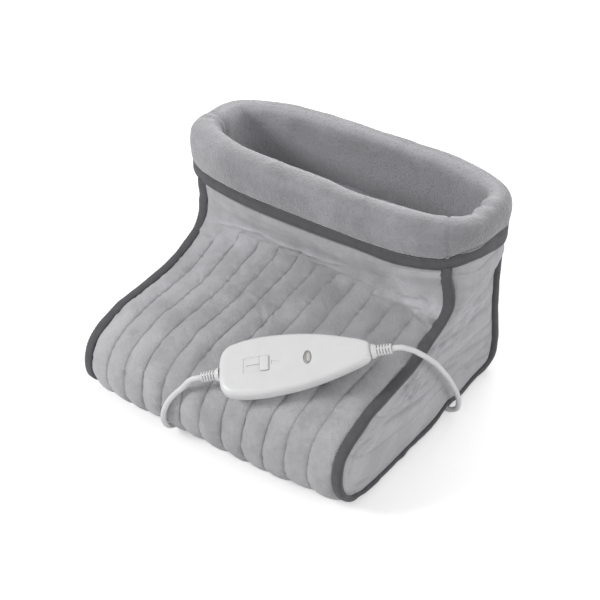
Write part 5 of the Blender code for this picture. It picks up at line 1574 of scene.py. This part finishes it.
def make_collar():
    """The plush roll round the opening, which turns down inside, and its foam core."""
    half = collar_wall / 2
    middle = collar_bulge - half
    roll = np.array([(middle + out * half, up * collar_height) for out, up in COLLAR_SECTION_SHARES])
    roll = smooth_path(roll, 66)
    skirt = np.array([(roll[-1][0], -depth) for depth in np.linspace(0.03, 1.0, 30)])
    section = np.vstack([roll, skirt])
    over_rim = eased((middle - section[:, 0]) / half * 0.7 + 0.6)[:, None]

    def shape(out, up, path, normals):
        """Carries the section's upper part by millimetres and its skirt, below 0, by shares."""
        share = collar_share(path[:, 0], path[:, 1])
        turn = np.arange(len(path)) / len(path)
        back = eased((path[:, 1] - collar_y) / collar_half_depth * 0.5 + 0.5)
        side = np.abs(normals[:, 0])
        base = band_z + collar_lift(share, 2) - collar_z + 0.0004
        places, taller, inwards = np.array(COLLAR_FULLNESS).T
        height = collar_height + np.interp(share, places, taller)
        lifted = base + np.maximum(up, 0) * (height - base) / collar_height
        down = np.maximum(-up, 0)
        high = np.where(up < 0, base - down * (0.022 + 0.042 * back), lifted)
        outer = out + np.where(up < 0, 0.009 * (1 - side) * eased(down), 0)
        outer = outer - np.interp(share, places, inwards) * over_rim * (1 - 0.85 * eased(down))
        x, y = path[:, 0] + outer * normals[:, 0], path[:, 1] + outer * normals[:, 1]
        place = np.stack([x, y, high], axis=-1)
        push = noise(place / 0.045, 21) * 0.0011 + noise(place / 0.016, 23) * 0.0004
        push = push + noise(place / 0.0045, 25) * 0.00022
        for at, depth, width in COLLAR_CREASES:
            away = ((turn - at + 0.5) % 1 - 0.5) * COLLAR_ROUND
            beside = np.exp(-(((away - 2.2 * width) / (1.6 * width)) ** 2))
            push = push - depth * (np.exp(-((away / width) ** 2)) - 0.6 * beside) * over_rim
        away = ((turn - COLLAR_SEAM + 0.5) % 1 - 0.5) * COLLAR_ROUND
        push = push - 0.0015 * np.exp(-((away / 0.0024) ** 2)) + 0.0007 * np.exp(-((away / 0.009) ** 2))
        slope_out, slope_up = np.gradient(out, axis=0), np.gradient(lifted, axis=0)
        size = np.maximum(np.hypot(slope_out, slope_up), 1e-7)
        push_out, push_up = push * slope_up / size, -push * slope_out / size
        return outer + np.where(up < 0, -push, push_out), high + np.where(up < 0, 0, push_up)

    points = ring_points(section, collar_z, RING_COUNT, shape)
    cover = grid_mesh("plush_collar", points, plush, closed=True)
    x, z = points[..., 0], points[..., 2]
    # painted light: inner marks the turned-down plush inside the collar, which the material makes lighter
    paint(cover, "inner", np.clip((collar_z + 0.030 - z) / 0.03, 0, 1) * over_rim**3)
    nap_and_shade = 0.30 * noise(points / 0.030, 71) + 0.18 * noise(points / 0.011, 72)
    # painted highlight: the top of the rim lighter, and lighter still along its inner top edge (crest)
    rim = eased((z - collar_z - 0.026) / 0.012)
    crest = np.exp(-(((section[:, :1] - middle + 0.45 * half) / (0.40 * half)) ** 2)) * rim
    # painted light: the inside a little lighter and the right end darker below the rim, then the left lighter
    # and the inside lighter to the right
    nap_and_shade = nap_and_shade + 0.15 * rim + 0.9 * crest + 0.15 * over_rim - 0.35 * eased((x - 0.13) / 0.03) * (1 - rim)
    nap_and_shade = nap_and_shade + 0.38 * eased((-0.08 - x) / 0.07) * (1 - 0.5 * over_rim)
    nap_and_shade = nap_and_shade + 0.30 * eased((x - 0.06) / 0.06) * over_rim
    paint(cover, "nap_and_shade", np.clip(nap_and_shade, -1, 1))
    thicken(cover, cover_thickness)
    declare(cover, "plush", "collar_cover", fill=0.8)
    core = [
        (middle + 0.6 * out * half, 0.007 + up * collar_height * 0.7) for out, up in COLLAR_SECTION_SHARES
    ]
    core = smooth_path(core, 28)
    core = np.vstack([core, core[:1]])
    ring = grid_mesh("collar_core", ring_points(core, collar_z, 120), foam, closed=True)
    declare(ring, "foam", "collar_foam", fill=0.8)


BAND_SECTION_SHARES = [
    (-1, 0.5), (-1, 0.0), (0.5, 0.0), (0.9, 0.05), (1, 0.2), (1.03, 0.5), (1, 0.8), (0.9, 0.95), (0.5, 1.0),
    (-1, 1.0), (-1, 0.5),
]


def make_band():
    """The tape round the collar's foot, with its two rows of stitches."""
    middle = band_proud - band_thickness / 2
    section = [(middle + out * band_thickness / 2, up * band_height) for out, up in BAND_SECTION_SHARES]
    section = spaced(np.array(section), 60)

    def shape(out, up, path, normals):
        share = collar_share(path[:, 0], path[:, 1])
        turn = 2 * math.pi * (np.arange(len(path)) / len(path))
        loop = np.broadcast_to(np.stack([np.cos(turn), np.sin(turn)], axis=-1) * 12, (*out.shape, 2))
        wave, fine = noise(loop, 31), noise(loop * 6, 33)
        edge = np.abs(up / band_height - 0.5) * 2
        low = collar_lift(share)
        high = low + up / band_height * (collar_lift(share, 2) - low)
        return out + wave * 0.0004 + fine * 0.0002 * edge, high + wave * 0.0005 + fine * 0.0002

    points = ring_points(section, band_z, RING_COUNT, shape)
    band = grid_mesh("collar_tape", points, tape, closed=True)
    declare(band, "binding_tape", "collar_binding", fill=0.3)
    outer = np.flatnonzero(section[:, 0] > middle + 0.42 * band_thickness)
    runs = []
    loop = np.concatenate([points, points[:, :1]], axis=1)
    for row in (outer[3], outer[-4]):
        runs.append((loop[row], np.cross(np.gradient(loop[row], axis=0), loop[row + 1] - loop[row - 1])))
    stitches("tape_seams", runs, tape_stitch_pitch, dark_thread, "binding_tape")


def make_bindings():
    """The tape over each side seam: wide along the toe and heel, narrow and wavy under the side."""
    end = binding_end / seam_length
    shares = np.linspace(end, 1 - end, 620)
    path, normals = sample(seam, shares), sample(seam_normals, shares)
    across, along = squarish(np.linspace(0, 2 * math.pi, 25), 0.75)
    low = eased((shares - marks[TOE_CORNER]) / 0.06) * eased((marks[HEEL_CORNER] - shares) / 0.05)
    tip = np.minimum(shares - end, 1 - end - shares) * seam_length
    thin = 0.55 + 0.45 * eased((tip + 0.004) / 0.016)
    heel = eased((shares - marks[HEEL_CORNER]) / 0.04)
    high_end = eased((path[:, 2] - 0.115) / 0.03) * (1 - heel)
    rise = np.array((0, 0, 0.0022))
    for side, word in ((1, "right"), (-1, "left")):
        wave = ripple(41 + side, shares * 60, 0 * shares)
        fine = ripple(43 + side, shares * 190, 0 * shares)
        width = 0.0055 + 0.0010 * high_end - 0.0028 * low - 0.0004 * heel + wave * 0.0003
        height = (0.0036 - 0.0014 * low + fine * 0.00018) * thin
        x = path[:, 0] + 0.0003 + wave * 0.0004 * low
        lift = lift_over_cord(path[:, 1] - lead_entry_y, path[:, 2], edge_lift) if side > 0 else 0
        z = path[:, 2] + lift + fine * 0.0004 * low
        x, y = leaned(side * x, path[:, 1], z)
        off = along * height[:, None]
        points = np.stack([
            x[:, None] + side * across * width[:, None],
            y[:, None] + off * normals[:, :1],
            np.maximum(0, z[:, None] + off * normals[:, 1:]),
        ], axis=-1)
        front = [points[0] + rise * step for step in range(4, 0, -1)]
        back = [points[-1] + rise * step for step in range(1, 5)]
        strip = grid_mesh("edge_tape_" + word, capped(points, front, back), tape, flip=side < 0)
        declare(strip, "binding_tape", "binding_" + word, fill=0.3)
        runs = []
        for column in (2, 10):
            line = points[:, column]
            beside = points[:, column + 1] - points[:, column - 1]
            normal = side * np.cross(beside, np.gradient(line, axis=0))
            for keep in (shares < marks[TOE_CORNER], shares > marks[HEEL_CORNER]):
                rows = np.flatnonzero(keep & (line[:, 2] > 0.012))
                runs.append((line[rows], normal[rows]))
        stitches("edge_seams_" + word, runs, tape_stitch_pitch, dark_thread, "binding_tape")


def make_footbed():
    """The plush bed over the heater, rounded at its rim."""
    reach = seam_half_width - side_lining_depth - lining_thickness - 2 * gap
    bed_back = lining_depth + lining_thickness - 2 * gap
    u, v = grid(even(100), even(80))
    y = heel_y - bed_back - v * (seam_depth - bed_back - footbed_front)
    x = (2 * u - 1) * reach * (1 - 0.12 * eased((v - 0.85) / 0.15))
    edge = np.minimum(reach - np.abs(x), np.minimum(v, 1 - v) * 0.25)
    z = footbed_top - 0.002 * np.exp(-edge / 0.006)
    z = z + ripple(51, x / 0.03, y / 0.03) * 0.0008
    bed = grid_mesh("plush_footbed", np.stack([x, y, z], axis=-1), lining_plush, flip=True)
    thicken(bed, footbed_thickness)
    declare(bed, "plush", "footbed", fill=0.5)


make_shells()
make_switch()
make_lens()
make_relief("relief_mains", -1, "strain_relief_mains")
make_relief("relief_warmer", 1, "strain_relief_warmer")
make_front()
make_back()
make_sides()
make_lining()
make_sole()
make_collar()
make_band()
make_bindings()
make_footbed()
make_pads()
plug_pieces = make_plug()

SLOT_LOOKS = {
    "fabric": quilt_cloth,
    "binding_tape": tape,
    "plush": plush,
    "foam": foam,
    "sole_cloth": sole_cloth,
    "wadding": wadding,
    "felt": felt,
    "heater_sleeve": sleeve,
    "black_plastic": black_plastic,
    "white_plastic": white_plastic,
    "cord_plastic": cord_plastic,
    "board_laminate": laminate,
    "lens_plastic": lens_plastic,
    "steel": steel,
    "brass": brass,
}


def dress_model():
    """Gives every model node that still shows its material, by its slot in the record."""
    for part in frame["record"]["subparts"]:
        obj = bpy.data.objects[part["node"]]
        obj.data.materials.clear()
        obj.data.materials.append(SLOT_LOOKS[part["material_slot"]])


FLOOR_SIZE = 4
FLOOR_CLEAR = 0.0002
FLOOR_GLOW = 0.42
AMBIENT = 0.50


def make_stage():
    """A plain pale floor that shows white to the camera but keeps the shadow."""
    bm = bmesh.new()
    bmesh.ops.create_grid(bm, x_segments=1, y_segments=1, size=FLOOR_SIZE)
    white = (1, 1, 1, 1)
    look = Shader("floor_paint", (0.82, 0.82, 0.82), 0.9, Specular_IOR_Level=0.0, Emission_Color=white)
    look.mottle(0.4, 0.004)
    seen = look.node("ShaderNodeLightPath").outputs["Is Camera Ray"]
    glow = look.node("ShaderNodeMath", ((0, seen), (1, FLOOR_GLOW)), operation="MULTIPLY")
    feed(look.tree, look.base["Emission Strength"], glow.outputs[0])
    floor = finished("floor", bm, look.material)
    floor.location.z = -FLOOR_CLEAR


def lamp(name, place, target, size, power):
    light = bpy.data.lights.new(name, "AREA")
    light.shape = "DISK"
    light.size = size
    light.energy = power
    aim(add(name, light), place, Vector(target) - Vector(place))


def make_light():
    """Three lamps, and a world that is full white only to the camera and in mirrors."""
    middle = (0.0, 0.0, 0.08)
    lamp("key", (-1.4, -1.5, 1.4), middle, 0.8, 29)
    lamp("fill", (1.9, -0.3, 0.9), middle, 1.3, 11)
    lamp("crest", (-0.3, 1.7, 1.3), middle, 1.0, 14)
    world = bpy.data.worlds.new("studio")
    bpy.context.scene.world = world
    world.use_nodes = True
    tree = world.node_tree
    backdrop = tree.nodes["Background"].inputs
    path = add_node(tree, "ShaderNodeLightPath").outputs
    mirrored = ((0, path["Is Glossy Ray"]), (1, path["Is Transmission Ray"]))
    glossy = add_node(tree, "ShaderNodeMath", mirrored, operation="MAXIMUM").outputs[0]
    sight = ((0, path["Is Camera Ray"]), (1, glossy))
    seen = add_node(tree, "ShaderNodeMath", sight, operation="MAXIMUM").outputs[0]
    level = add_node(tree, "ShaderNodeMapRange", Value=seen, To_Min=AMBIENT, To_Max=1.0)
    feed(tree, backdrop["Strength"], level.outputs["Result"])
    feed(tree, backdrop["Color"], (1, 1, 1, 1))
    bpy.context.scene.view_settings.view_transform = "Standard"


dress_model()
make_stage()
make_light()
